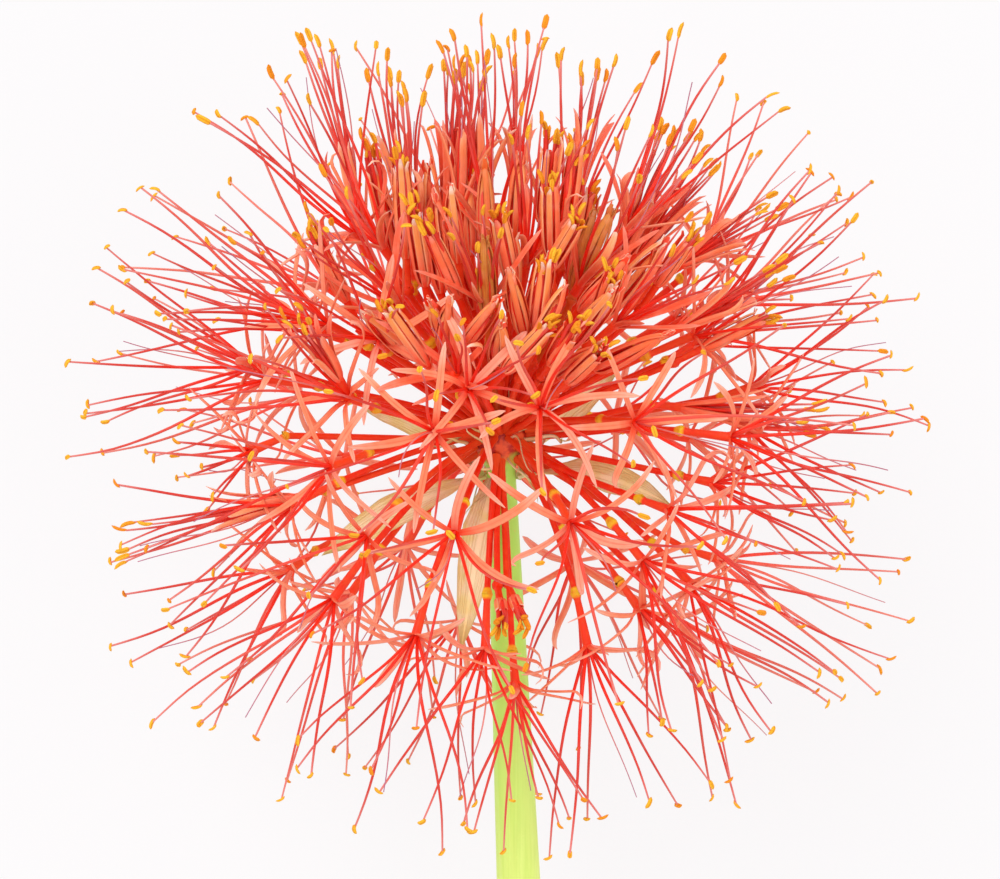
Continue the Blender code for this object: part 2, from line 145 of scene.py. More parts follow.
def read_scape():
    """Centre and radius of each ring of the stem, from the cut end to the top of the knob."""
    points, _, neighbours = solid_mesh("scape")
    ends = [index for index, near in enumerate(neighbours) if len(near) == SCAPE_CORNERS]
    start = min(ends, key=lambda index: points[index][1])
    rings = [ring for ring in rings_from(start, neighbours, 40) if len(ring) == SCAPE_CORNERS]
    centres = middles(points, rings)
    radii = [np.linalg.norm(points[ring] - centre, axis=1).mean() for ring, centre in zip(rings, centres)]
    return centres, np.array(radii)


def read_bract(node):
    """Centre, direction of the width and half width of each ring, from the seat to the tip."""
    points, triangles, neighbours = solid_mesh(node)
    tip = int(np.argmin(angle_sums(points, triangles)))
    rings = [ring for ring in rings_from(tip, neighbours, 12) if len(ring) == TEPAL_CORNERS][::-1]
    sides, halves = zip(*[flat_axis(points[ring]) for ring in rings])
    return middles(points, [*rings, [tip]]), np.array([*sides, sides[-1]]), np.array([*halves, 0.0])


# How many corners the rings of the solids have, how many rings lie between a stalk's foot and the throat,
# and the total angle, in radians, under which a point is the tip of a strand.
SCAPE_CORNERS, TEPAL_CORNERS, FILAMENT_CORNERS, STALK_CORNERS = 12, 4, 3, 6
STALK_RINGS = 6
BUD_RINGS = 30
SHARP_TIP = 2.4
HALF_OPEN = 0.95  # radians between tepals and axis, under which a floret has only just opened
RIM_HEIGHT = 1.2 * MM
# A floret farther than this behind the head's middle is painted paler and pinker, as painted backlight
# through its thin tepals and filaments.
FAR_SIDE = -6 * MM  # towards the viewer from the head's middle; a floret below this looks paler

SCAPE_CENTRES, SCAPE_RADII = read_scape()
KNOB = int(np.argmax(SCAPE_RADII[-6:])) + len(SCAPE_RADII) - 6
CENTRE = SCAPE_CENTRES[KNOB]
ALONG = unit((CENTRE - SCAPE_CENTRES[0]) * (0, 1, 1))
ACROSS = np.array((1.0, 0.0, 0.0))
FACING = np.cross(ACROSS, ALONG)


def flower_place(across, along, facing):
    """A point given in millimetres from the middle of the head, along the flower's own directions."""
    return CENTRE + (ACROSS * across + ALONG * along + FACING * facing) * MM


class Bones:
    """Centre lines of one floret: its stalk from foot to throat, its tepals and its stamens."""

    def __init__(self, form, stalk, rim, tepals=(), stamens=(), brown=0.0):
        self.form, self.stalk, self.throat, self.rim = form, stalk, stalk[-1], rim
        self.axis = unit(rim - self.throat)
        self.is_free = form in ("open", "brush")
        self.is_far = (self.throat - CENTRE) @ FACING < FAR_SIDE
        self.tepals, self.stamens, self.brown = list(tepals), list(stamens), brown


def read_bones(node):
    """The bones of a floret or bud, read from its solid."""
    points, triangles, neighbours = solid_mesh(node)
    near = np.argsort(np.linalg.norm(points - CENTRE, axis=1))[:STALK_CORNERS + 1].tolist()
    foot = max(near, key=lambda point: len(neighbours[point] & set(near)))
    is_bud = node.startswith("bud")
    centres = middles(points, rings_from(foot, neighbours, BUD_RINGS if is_bud else STALK_RINGS))
    stalk, throat = centres[:STALK_RINGS + 1], centres[STALK_RINGS]
    if is_bud:
        rim = throat + unit(centres[STALK_RINGS + 1] - centres[STALK_RINGS - 1]) * RIM_HEIGHT
        bones = Bones("closed", stalk, rim)
        bones.height = np.linalg.norm(centres[-1] - throat)
        return bones
    tepals, stamens = [], []
    for tip in np.flatnonzero(angle_sums(points, triangles) < SHARP_TIP).tolist():
        if len(neighbours[tip]) == TEPAL_CORNERS:
            rings = rings_from(tip, neighbours, 3)[::-1]
            sides = [flat_axis(points[ring])[0] for ring in rings[1:3]]
            tepals.append((middles(points, rings), np.array(sides)))
        elif len(neighbours[tip]) == FILAMENT_CORNERS:
            stamens.append(middles(points, rings_from(tip, neighbours, 4)[::-1]))
    rim = np.mean([path[0] for path in stamens], axis=0)
    axis = unit(rim - throat)
    turns = [math.acos(np.clip(unit(path[-1] - path[0]) @ axis, -1, 1)) for path, _ in tepals]
    return Bones("open" if np.mean(turns) > HALF_OPEN else "brush", stalk, rim, tepals, stamens)


# ---------- sizes and colours


def length_of(name, description, millimetres):
    return bpy.props.FloatProperty(
        name=name, description=description, default=millimetres * MM, min=0, unit="LENGTH", precision=5)


def share_of(name, description, default):
    return bpy.props.FloatProperty(
        name=name, description=description, default=default, min=0, max=1, subtype="FACTOR")


def colour_of(name, what, *shade):
    """A colour given from 0 to 255 as displayed, and kept as the linear colour that a shader takes."""
    return bpy.props.FloatVectorProperty(
        name=name, description=f"Colour of {what}", default=[(channel / 255) ** 2.2 for channel in shade],
        min=0, max=1, subtype="COLOR", size=3)


class LilySizes(bpy.types.PropertyGroup):
    """Sizes of the parts of the flower"""

    tepal_width: length_of("Tepal width", "Half the width of an open tepal at its widest", 0.82)
    tepal_thickness: length_of("Tepal thickness", "Half the thickness of a tepal", 0.17)
    tepal_fold: share_of("Tepal fold", "How far the tepal's edges rise into a channel", 0.45)
    tepal_curl: share_of("Tepal curl", "How many of the tepals roll at the tip", 0.5)
    stalk_radius: length_of("Stalk radius", "Radius of a floret's stalk", 0.7)
    ovary_radius: length_of("Ovary radius", "Radius of the ovary below the tube", 1.22)
    tube_radius: length_of("Tube radius", "Radius of the tube where it leaves the ovary", 0.72)
    filament_radius: length_of("Filament radius", "Radius of a filament at its foot", 0.325)
    filament_bow: length_of("Filament bow", "How far a filament bows out of line", 2.4)
    style_radius: length_of("Style radius", "Radius of the style", 0.17)
    anther_length: length_of("Anther length", "Length of a ripe anther", 2.35)
    anther_width: length_of("Anther width", "Width of a ripe anther", 1.05)
    bract_thickness: length_of("Bract thickness", "Half the thickness of a dry bract", 0.13)
    bract_wave: length_of("Bract wave", "How far the bracts' edges wave", 0.8)
    thread_radius: length_of("Thread radius", "Half the width of a curly thread at the knob", 0.42)


class LilyColours(bpy.types.PropertyGroup):
    """Colours of the flower and of the floor"""

    tepal_foot: colour_of("Tepal foot", "a tepal where it leaves the tube", 255, 64, 24)
    tepal_middle: colour_of("Tepal middle", "a tepal along its blade", 255, 144, 104)
    tepal_tip: colour_of("Tepal tip", "a tepal at its tip", 255, 188, 164)
    # Pink tepal: a random pink tone on any tepal, and also painted backlight, which the florets on the head's
    # far side lean to.
    tepal_pink: colour_of("Pink and backlit tepal", "the paler, pinker tepals", 255, 178, 154)
    fresh_tepal: colour_of("Fresh tepal", "a tepal that is opening", 255, 160, 92)
    fresh_edge: colour_of("Fresh edge", "the edges of a tepal that is opening", 255, 216, 162)
    fresh_tip: colour_of("Fresh tip", "the hooked tip of an opening tepal", 255, 238, 220)
    brown_tepal: colour_of("Brown tepal", "a bud that has dried", 198, 104, 42)
    olive_tepal: colour_of("Olive tepal", "the greener streaks of a dried bud", 196, 156, 62)
    stalk_foot: colour_of("Stalk foot", "a stalk by the knob", 240, 96, 44)
    stalk: colour_of("Stalk", "a stalk along its length", 240, 48, 16)
    ovary: colour_of("Ovary", "the ovary", 248, 208, 44)
    ovary_shade: colour_of("Ovary shade", "the ovary's greener middle", 232, 196, 44)
    tube: colour_of("Tube", "the tube", 246, 66, 36)
    filament_foot: colour_of("Filament foot", "a filament at its foot", 246, 44, 14)
    filament_middle: colour_of("Filament middle", "a filament along its length", 212, 62, 52)
    filament_tip: colour_of("Filament tip", "a filament under its anther", 222, 130, 124)
    style_tip: colour_of("Style tip", "the style's end", 176, 104, 132)
    anther: colour_of("Anther", "a ripe anther", 252, 184, 52)
    anther_edge: colour_of("Anther edge", "an anther's groove and ends", 212, 130, 26)
    anther_orange: colour_of("Orange anther", "some anthers", 246, 138, 34)
    bract: colour_of("Bract", "a dry bract", 255, 248, 200)
    bract_olive: colour_of("Bract olive", "the greener patches of a dry bract", 246, 238, 160)
    bract_edge: colour_of("Bract edge", "a bract's edges and tip", 222, 196, 118)
    # The stem's paler colour serves its wax specks and its cut pith, and is also painted light on the stem's
    # +X side; its green is darker on the -X side as painted shade.
    scape_light: colour_of("Stem pale and painted light", "the paler side of the stem", 214, 234, 118)
    scape_green: colour_of("Stem green and painted shade", "the greener side of the stem", 176, 210, 62)
    # The stem's neck is its own brighter green, raised further as painted light where the head's shade falls
    # on it.
    scape_neck: colour_of("Stem neck and painted light", "the stem under the knob", 182, 255, 108)
    knob: colour_of("Knob", "the knob between the stalks", 176, 24, 6)
    scape_cut: colour_of("Stem cut", "the cut end", 232, 240, 196)
    floor: colour_of("Floor", "the floor", 246, 245, 246)


# ---------- guides for the node trees


def turned(vector, axis, angle):
    return np.array(Matrix.Rotation(angle, 3, Vector(axis)) @ Vector(vector))


def any_side(direction):
    """Some direction square to this one."""
    return unit(np.cross(direction, ACROSS if abs(direction @ ACROSS) < 0.8 else ALONG))


def carried_sides(path, side=None):
    """The path's tangents, and a side carried along it without twisting."""
    side = any_side(path[1] - path[0]) if side is None else side
    tangents, sides = tangents_of(path), []
    for tangent in tangents:
        side = unit(side - tangent * (side @ tangent))
        sides.append(side)
    return tangents, np.array(sides)


def bare_mesh(name, places, edges, table):
    """A mesh of bare points and edges, with the columns of a table as attributes of its points."""
    mesh = bpy.data.meshes.new(name)
    mesh.from_pydata(places.tolist(), edges.tolist(), [])
    for key, values in table.items():
        kind, field = ("FLOAT_VECTOR", "vector") if values.ndim == 2 else ("FLOAT", "value")
        mesh.attributes.new(key, kind, "POINT").data.foreach_set(field, values.astype(np.float32).ravel())
    return mesh


class Guides:
    """Paths for one sweep: the stations of each, the way its width points, and its sizes."""

    def __init__(self):
        self.rows = []

    def add(self, path, sides, half_widths, half_depths, **marks):
        gaps = np.linalg.norm(np.diff(path, axis=0), axis=1)
        rise = np.concatenate([[0], np.cumsum(np.hypot(gaps, np.diff(half_widths)))])
        row = dict(
            centre=path, side=sides, up=unit(np.cross(tangents_of(path), sides)), half_width=half_widths,
            half_depth=half_depths, along=np.linspace(0, 1, len(path)), rise=rise / rise[-1])
        for name, value in marks.items():
            row[name] = np.broadcast_to(np.asarray(value, float), len(path))
        self.rows.append(row)

    def mesh(self, name):
        """A mesh of bare edges, one chain for each path, with the sizes as attributes."""
        table = {key: np.concatenate([row[key] for row in self.rows]) for key in self.rows[0]}
        strand = np.repeat(np.arange(len(self.rows)), [len(row["centre"]) for row in self.rows])
        starts = np.flatnonzero(strand[:-1] == strand[1:])
        edges = np.column_stack([starts, starts + 1])
        return bare_mesh(name, table["centre"], edges, {**table, "strand": strand})


class Value:
    """A socket whose sums, differences, products and quotients are nodes of the same tree."""

    def __init__(self, nodes, socket):
        self.nodes, self.socket = nodes, socket

    def __getitem__(self, key):
        """Another output of the same node."""
        return Value(self.nodes, self.socket.node.outputs[key])

    def __rsub__(self, other):
        return self.nodes.math("SUBTRACT", other, self)

    def made(self, operation, *others):
        return self.nodes.math(operation, self, *others)

    __add__ = partialmethod(made, "ADD")
    __sub__ = partialmethod(made, "SUBTRACT")
    __mul__ = partialmethod(made, "MULTIPLY")
    __truediv__ = partialmethod(made, "DIVIDE")
    __abs__ = partialmethod(made, "ABSOLUTE")


class Nodes:
    """Short words for building a tree of nodes."""

    def node(self, kind, links=(), **settings):
        """The first output of a new node."""
        made = self.tree.nodes.new(kind)
        for key, value in settings.items():
            setattr(made, key, value)
        for key, value in dict(links).items():
            socket = made.inputs[key]
            if isinstance(value, Value):
                self.tree.links.new(value.socket, socket)
            else:
                socket.default_value = (*value[:3], 1) if socket.type == "RGBA" else value
        return Value(self, made.outputs[0])

    def math(self, operation, *values):
        return self.node("ShaderNodeMath", dict(enumerate(values)), operation=operation)


VECTOR = "FLOAT_VECTOR"


class Tree(Nodes):
    """A geometry node tree with named inputs."""

    def __init__(self, name, inputs):
        self.tree = bpy.data.node_groups.new(name, "GeometryNodeTree")
        face = self.tree.interface
        face.new_socket("Geometry", in_out="INPUT", socket_type="NodeSocketGeometry")
        for label, value in inputs.items():
            kind = "NodeSocketInt" if isinstance(value, int) else "NodeSocketFloat"
            face.new_socket(label, in_out="INPUT", socket_type=kind).default_value = value
        face.new_socket("Material", in_out="INPUT", socket_type="NodeSocketMaterial")
        face.new_socket("Geometry", in_out="OUTPUT", socket_type="NodeSocketGeometry")
        self.given = Value(self, self.tree.nodes.new("NodeGroupInput").outputs[0])

    def read(self, name, kind="FLOAT"):
        return self.node("GeometryNodeInputNamedAttribute", {"Name": name}, data_type=kind)

    def store(self, geometry, name, value, kind="FLOAT"):
        links = {"Geometry": geometry, "Name": name, "Value": value}
        return self.node("GeometryNodeStoreNamedAttribute", links, data_type=kind)

    def plus(self, one, other):
        return self.node("ShaderNodeVectorMath", {0: one, 1: other}, operation="ADD")

    def moved(self, place, name, amount):
        """A place moved along the direction of this name."""
        links = {0: self.read(name, VECTOR), "Scale": amount}
        return self.plus(place, self.node("ShaderNodeVectorMath", links, operation="SCALE"))

    def tube(self, line):
        """A capped tube of radius 1 round a line, and the X and Y of each point on its outline."""
        sides = self.given["Sides"]
        outline = self.node("GeometryNodeCurvePrimitiveCircle", {"Resolution": sides, "Radius": 1.0})
        outline = self.store(outline, "spoke", self.node("GeometryNodeInputPosition"), VECTOR)
        outline = self.store(outline, "around", self.node("GeometryNodeInputIndex") / sides)
        links = {"Curve": line, "Profile Curve": outline, "Fill Caps": True}
        spoke = self.node("ShaderNodeSeparateXYZ", {0: self.read("spoke", VECTOR)})
        return self.node("GeometryNodeCurveToMesh", links), spoke["X"], spoke["Y"]

    def shaped(self, geometry, place):
        return self.node("GeometryNodeSetPosition", {"Geometry": geometry, "Position": place})

    def finish(self, geometry):
        """Smooth shading, real instances and the finish, last."""
        smooth = self.node("GeometryNodeSetShadeSmooth", {"Geometry": geometry})
        real = self.node("GeometryNodeRealizeInstances", {"Geometry": smooth})
        last = self.node("GeometryNodeSetMaterial", {"Geometry": real, "Material": self.given["Material"]})
        self.tree.links.new(last.socket, self.tree.nodes.new("NodeGroupOutput").inputs["Geometry"])
        return self.tree


def sweep_tree():
    """Sweeps a shaped outline along every guide path: stalks, tepals, filaments, bracts and the stem."""
    tree = Tree("Swept strands", {
        "Sides": 10, "Ribs": 0.0, "Rib Depth": 0.0, "Rib Twist": 0.0, "Fold": 0.0,
        "Wave": 0.0, "Wave Size": 200.0, "Seed": SEED})
    given = tree.given
    swept, x, y = tree.tube(tree.node("GeometryNodeMeshToCurve", {"Mesh": given["Geometry"]}))
    turn = tree.read("around") * math.tau + tree.read("along") * given["Rib Twist"]
    swell = tree.math("COSINE", turn * given["Ribs"]) * given["Rib Depth"] + 1.0
    wide = x * tree.read("half_width") * swell
    deep = y * tree.read("half_depth") * swell
    edge = x * x
    raised = edge * given["Fold"] * tree.read("half_width")
    place = tree.moved(tree.read("centre", VECTOR), "side", wide)
    links = {"Vector": place, "W": given["Seed"], "Scale": given["Wave Size"], "Detail": 1.0}
    noise = tree.node("ShaderNodeTexNoise", links, noise_dimensions="4D")
    waved = (noise - 0.5) * given["Wave"] * (edge + 0.25)
    swept = tree.shaped(swept, tree.moved(place, "up", deep + raised + waved))
    swept = tree.store(swept, "edge", abs(x))
    return tree.finish(tree.store(swept, "face", y))


def anther_tree():
    """Sets a two-lobed anther, bent like a bean, on every guide point."""
    tree = Tree("Anthers on filaments", {"Sides": 8, "Stations": 7, "Groove": 0.32, "Bend": 0.35})
    given = tree.given
    line = tree.node("GeometryNodeCurvePrimitiveLine", {"Start": (0, 0, -0.5), "End": (0, 0, 0.5)})
    line = tree.node("GeometryNodeResampleCurve", {"Curve": line, "Count": given["Stations"]})
    line = tree.store(line, "rise", tree.node("GeometryNodeSplineParameter"))
    line = tree.store(line, "centre", tree.node("GeometryNodeInputPosition"), VECTOR)
    body, x, y = tree.tube(line)
    ends = tree.read("rise") * 2.0 - 1.0
    square = ends * ends
    plump = tree.math("SQRT", tree.math("MAXIMUM", 1.02 - square * square, 0.0))
    lobed = 1.0 - x * x
    radius = plump * (1.0 - lobed * given["Groove"]) * 0.5
    bend = (square - 0.4) * given["Bend"]
    place = tree.node("ShaderNodeCombineXYZ", {0: x * radius, 1: y * radius + bend})
    body = tree.shaped(body, tree.plus(tree.read("centre", VECTOR), place))
    body = tree.store(body, "edge", lobed)
    rotation = tree.node("FunctionNodeAxesToRotation", {
        0: tree.read("axis", VECTOR), 1: tree.read("side", VECTOR)}, primary_axis="Z", secondary_axis="X")
    points = tree.node("GeometryNodeMeshToPoints", {"Mesh": given["Geometry"]})
    return tree.finish(tree.node("GeometryNodeInstanceOnPoints", {
        "Points": points, "Instance": body, "Rotation": rotation, "Scale": tree.read("size", VECTOR)}))


# ---------- from guides to plain meshes


def made_by(tree, guide_mesh, finish, **sizes):
    """The plain mesh that a tree makes from a guide mesh."""
    guide = bpy.data.objects.new(guide_mesh.name, guide_mesh)
    bpy.context.scene.collection.objects.link(guide)
    modifier = guide.modifiers.new("Strands", "NODES")
    modifier.node_group = tree
    wanted = {"Material": finish, **{key.replace("_", " ").title(): value for key, value in sizes.items()}}
    for item in tree.interface.items_tree:
        if item.in_out == "INPUT" and item.name in wanted:
            modifier[item.identifier] = wanted.pop(item.name)
    if wanted:
        raise RuntimeError(f"{tree.name} has no input named {sorted(wanted)}")
    graph = bpy.context.evaluated_depsgraph_get()
    mesh = bpy.data.meshes.new_from_object(guide.evaluated_get(graph))
    guide.modifiers.remove(modifier)
    bpy.data.objects.remove(guide)
    bpy.data.meshes.remove(guide_mesh)
    return mesh


def numbers(mesh, name):
    return read_all(mesh.attributes[name].data, "value")


# Where a strand and its two caps lie in a column of the map, as shares of the column's width and height.
STRAND_LEFT, STRAND_WIDTH, STRAND_BOTTOM, STRAND_HEIGHT = 0.06, 0.88, 0.03, 0.94
CAP_LEFT, CAP_WIDTH, CAP_BOTTOM, CAP_TOP, CAP_HEIGHT = 0.5, 0.3, 0.014, 0.986, 0.012
SEAM = 0.25  # how far behind its face's middle a corner lies, round the strand, if the seam parts them


def lay_out(mesh, first, total, rows=1):
    """A flat map with a column of its own for each strand, its length running up the column."""
    points = read_all(mesh.loops, "vertex_index", 1, np.int32)
    strand, around, rise = (numbers(mesh, name)[points] for name in ("strand", "around", "rise"))
    counts = read_all(mesh.polygons, "loop_total", 1, np.int32)
    face = np.repeat(np.arange(len(counts)), counts)
    is_cap = (counts > 4)[face]
    crosses_seam = (np.bincount(face, around) / counts)[face] - around > SEAM
    columns = math.ceil(total / rows)
    number = strand.round().astype(int) + first
    column, row = number % columns, number // columns
    left = STRAND_LEFT + STRAND_WIDTH * np.where(~is_cap & crosses_seam, around + 1, around)
    level = STRAND_BOTTOM + STRAND_HEIGHT * rise
    cap_left = CAP_LEFT + CAP_WIDTH * np.cos(math.tau * around)
    cap_level = np.where(rise > 0.5, CAP_TOP, CAP_BOTTOM) + CAP_HEIGHT * np.sin(math.tau * around)
    left, level = np.where(is_cap, cap_left, left), np.where(is_cap, cap_level, level)
    flat = np.column_stack([(column + left) / columns, (row + level) / rows])
    for layer in list(mesh.uv_layers):
        mesh.uv_layers.remove(layer)
    mesh.uv_layers.new(name=MAP_NAME).data.foreach_set("uv", flat.astype(np.float32).ravel())


CLEARANCE = 0.35 * MM


def lifted(mesh):
    """Eases every point that would dip under the surface back to just above it."""
    places = read_all(mesh.vertices, "co", 3)
    low = places[:, 2] < CLEARANCE
    places[low, 2] = CLEARANCE * np.exp(places[low, 2] / CLEARANCE - 1)
    mesh.vertices.foreach_set("co", places.ravel())


def joined(name, meshes):
    """One mesh from several, keeping each one's finish."""
    made = bpy.data.meshes.new(name)
    whole = bmesh.new()
    for at, mesh in enumerate(meshes):
        before = len(whole.faces)
        whole.from_mesh(mesh)
        whole.faces.ensure_lookup_table()
        for face in whole.faces[before:]:
            face.material_index = at
    bmesh.ops.recalc_face_normals(whole, faces=whole.faces)
    whole.to_mesh(made)
    whole.free()
    for mesh in meshes:
        made.materials.append(next(finish for finish in mesh.materials if finish))
        bpy.data.meshes.remove(mesh)
    for scratch in ("spoke", "side", "up", "centre", "half_width", "half_depth", "size", "axis"):
        if scratch in made.attributes:
            made.attributes.remove(made.attributes[scratch])
    return made


def add_piece(name, meshes, slot, *nodes):
    """A finished piece that stands for the given solids."""
    mesh = joined(name, meshes)
    lifted(mesh)
    piece = bpy.data.objects.new(name, mesh)
    bpy.context.scene.collection.objects.link(piece)
    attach(piece, "root")
    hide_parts(*nodes)


# ---------- finishes


class Paint(Nodes):
    """A finish built out of shader nodes."""

    def __init__(self, name, **constants):
        self.material = bpy.data.materials.new(name)
        self.material.use_nodes = True
        self.tree = self.material.node_tree
        self.shader = self.tree.nodes["Principled BSDF"]
        sockets = {socket.name.lower().replace(" ", "_"): socket for socket in self.shader.inputs}
        for key, value in constants.items():
            sockets[key].default_value = value

    def read(self, name):
        return self.node("ShaderNodeAttribute", attribute_name=name)["Fac"]

    def place(self):
        return self.node("ShaderNodeTexCoord")["Object"]

    def between(self, value, low, high, to_low=0.0, to_high=1.0):
        """The value eased from one range to another, and held at its ends."""
        links = {0: value, 1: low, 2: high, 3: to_low, 4: to_high}
        return self.node("ShaderNodeMapRange", links, interpolation_type="SMOOTHSTEP")

    def mix(self, amount, one, other):
        return self.node("ShaderNodeMix", {0: amount, 6: one, 7: other}, data_type="RGBA")[2]

    def over(self, shade, *layers):
        """The shade with colours laid over it, each one as (colour, value, low, high, most): from none of it
        where the value is low to the most of it where the value is high."""
        for colour, value, low, high, most in layers:
            shade = self.mix(self.between(value, low, high, 0.0, most), shade, colour)
        return shade

    def ramp(self, value, *stops):
        """Colours at places from 0 to 1 along a value."""
        made = self.node("ShaderNodeValToRGB", {0: value})
        band = made.socket.node.color_ramp
        while len(band.elements) < len(stops):
            band.elements.new(0.5)
        for element, (place, colour) in zip(band.elements, stops):
            element.position = place
            element.color = (*colour[:3], 1)
        return made

    def noise(self, scale, detail=2.0, vector=None):
        links = {"Vector": vector or self.place(), "Scale": scale, "Detail": detail}
        return self.node("ShaderNodeTexNoise", links)

    def strand_noise(self, around, along):
        """Noise drawn out along each strand, as fine streaks."""
        links = {0: self.read("edge") * around, 1: self.read("along") * along,
                 2: self.read("strand") * STRAND_STEP}
        return self.noise(1.0, 2.0, self.node("ShaderNodeCombineXYZ", links))

    def link(self, name, value):
        self.tree.links.new(value.socket, self.shader.inputs[name])

    def finish(self, shade, rough, bump):
        """The material, with its colour, its roughness as (grain, least, most) and its bump as
        (height, distance, strength)."""
        grain, least, most = rough
        self.link("Base Color", shade)
        self.link("Roughness", self.between(grain, 0.3, 0.7, least, most))
        self.link("Normal", self.node("ShaderNodeBump", dict(zip(("Height", "Distance", "Strength"), bump))))
        return self.material


STRAND_STEP = 7.3  # how far apart two strands lie in the streaks' noise


def tepal_finish(colours):
    paint = Paint("Tepal", specular_ior_level=0.22)
    along, edge, face = map(paint.read, ("along", "edge", "face"))
    tint, fresh, brown = map(paint.read, ("tint", "fresh", "brown"))
    foot, middle, tip = colours.tepal_foot, colours.tepal_middle, colours.tepal_tip
    streaks, mottle = paint.strand_noise(9.0, 3.0), paint.noise(420)
    opened = paint.over(
        paint.ramp(along, (0.0, foot), (0.3, middle), (0.7, middle), (1.0, tip)),
        (colours.tepal_pink, tint, 0.45, 1.0, 0.75), (foot, edge, 0.3, 0.0, 0.35))
    opening = paint.over(
        paint.ramp(along, (0.0, foot), (0.4, middle), (0.62, colours.fresh_tepal),
                   (0.88, colours.fresh_tepal), (0.95, colours.fresh_tip)),
        (colours.fresh_edge, edge, 0.5, 1.0, 0.75), (paint.mix(0.45, foot, middle), tint, 0.6, 0.1, 0.8),
        (foot, face, -0.4, 0.1, 0.92))
    dried = paint.over(colours.brown_tepal, (colours.olive_tepal, streaks, 0.4, 0.6, 1.0))
    shade = paint.mix(brown * 0.9, paint.mix(fresh, opened, opening), dried)
    shade = paint.over(shade, (foot, streaks, 0.45, 0.75, 0.35), (tip, mottle, 0.4, 0.8, 0.2))
    return paint.finish(shade, (streaks, 0.42, 0.6), (streaks + paint.noise(1800) * 0.3, 0.12 * MM, 0.6))


def stalk_finish(colours):
    paint = Paint("Stalk ovary and tube", specular_ior_level=0.25)
    zone, tint, brown = map(paint.read, ("zone", "tint", "brown"))
    mottle = paint.noise(650, 3.0)
    shade = paint.over(
        paint.ramp(zone / 3.0, (0.0, colours.stalk_foot), (0.07, colours.stalk), (0.3, colours.stalk),
                   (0.36, colours.ovary), (0.48, colours.ovary_shade), (0.6, colours.ovary),
                   (0.67, colours.tube), (0.92, colours.tube), (1.0, colours.filament_foot)),
        (colours.stalk_foot, mottle, 0.45, 0.7, 0.4), (colours.stalk_foot, tint, 0.4, 1.0, 0.35))
    shade = paint.mix(brown * 0.75, shade, colours.brown_tepal)
    return paint.finish(shade, (mottle, 0.36, 0.55), (paint.strand_noise(6.0, 14.0) + mottle, 0.1 * MM, 0.5))


def filament_finish(colours):
    paint = Paint("Filament and style", specular_ior_level=0.25)
    along, tint, is_style = map(paint.read, ("along", "tint", "is_style"))
    foot, middle, tip = colours.filament_foot, colours.filament_middle, colours.filament_tip
    filament = paint.ramp(along, (0.0, foot), (0.25, foot), (0.6, middle), (0.8, middle), (1.0, tip))
    style = paint.ramp(along, (0.0, middle), (0.5, tip), (0.95, colours.style_tip))
    mottle = paint.strand_noise(4.0, 9.0)
    shade = paint.over(paint.mix(is_style, filament, style), (tip, mottle, 0.45, 0.75, 0.25),
                       (colours.tepal_pink, tint, 0.45, 1.0, 0.35))
    return paint.finish(shade, (mottle, 0.35, 0.5), (mottle, 0.08 * MM, 0.5))


def anther_finish(colours):
    paint = Paint("Pollen", specular_ior_level=0.2)
    edge, tint, rise = map(paint.read, ("edge", "tint", "rise"))
    grain, dark = paint.noise(3200, 3.0), colours.anther_edge
    shade = paint.over(
        colours.anther, (colours.anther_orange, tint, 0.62, 0.9, 0.8), (dark, edge, 0.6, 1.0, 0.75),
        (dark, abs(rise - 0.5), 0.36, 0.5, 0.6), (dark, grain, 0.5, 0.72, 0.45))
    return paint.finish(shade, (grain, 0.75, 0.95), (grain, 0.25 * MM, 0.9))


def bract_finish(colours):
    paint = Paint("Dry bract", specular_ior_level=0.25)
    along, edge = paint.read("along"), paint.read("edge")
    patches, streaks, brown = paint.noise(160, 3.0), paint.strand_noise(26.0, 5.0), colours.bract_edge
    lines = paint.math("SINE", edge * 38.0) * 0.25 + streaks
    shade = paint.over(
        colours.bract, (colours.bract_olive, patches, 0.42, 0.62, 1.0), (brown, lines, 0.55, 0.85, 0.6),
        (brown, edge, 0.82, 1.0, 0.7), (brown, along + patches * 0.25, 0.9, 1.1, 0.85))
    return paint.finish(shade, (streaks, 0.55, 0.8), (lines + paint.noise(900, 4.0) * 0.5, 0.3 * MM, 0.7))


def scape_finish(colours):
    paint = Paint("Waxy stem", specular_ior_level=0.45, coat_weight=0.08, coat_roughness=0.35)
    along, zone, face = map(paint.read, ("along", "zone", "face"))
    across = paint.node("ShaderNodeSeparateXYZ", {0: paint.place()})["X"]
    streaks = paint.noise(1.0, 3.0, paint.node("ShaderNodeCombineXYZ", {
        0: across * 1200, 1: face * 6.0, 2: along * 7.0}))
    specks, light = paint.noise(900), colours.scape_light
    # Painted light and shade: the stem turns paler towards +X and stays green and darker towards -X, as if
    # lit from that side.
    side = across + (paint.noise(38) - 0.5) * (4 * MM)
    knob = paint.over(colours.knob, (colours.stalk_foot, paint.noise(520, 3.0), 0.4, 0.65, 1.0))
    pith = paint.over(colours.scape_cut, (light, paint.noise(1500, 3.0), 0.4, 0.7, 0.6))
    # The neck layer is the neck's own green, brightened as painted light under the head's shade.
    shade = paint.over(
        colours.scape_green, (light, side, -4 * MM, 3 * MM, 1.0),
        (colours.scape_green, streaks, 0.4, 0.75, 0.35), (colours.scape_neck, along, 0.56, 0.84, 1.0),
        (light, specks, 0.62, 0.75, 0.4), (knob, zone + (paint.noise(260) - 0.5) * 1.2, 0.25, 0.75, 1.0),
        (pith, zone, -0.2, -0.8, 1.0))
    return paint.finish(shade, (streaks, 0.34, 0.5), (streaks + specks * 0.4, 0.18 * MM, 0.5))


FINISHES = {
    "Tepal": tepal_finish, "Stalk ovary and tube": stalk_finish, "Filament and style": filament_finish,
    "Pollen": anther_finish, "Dry bract": bract_finish, "Waxy stem": scape_finish}


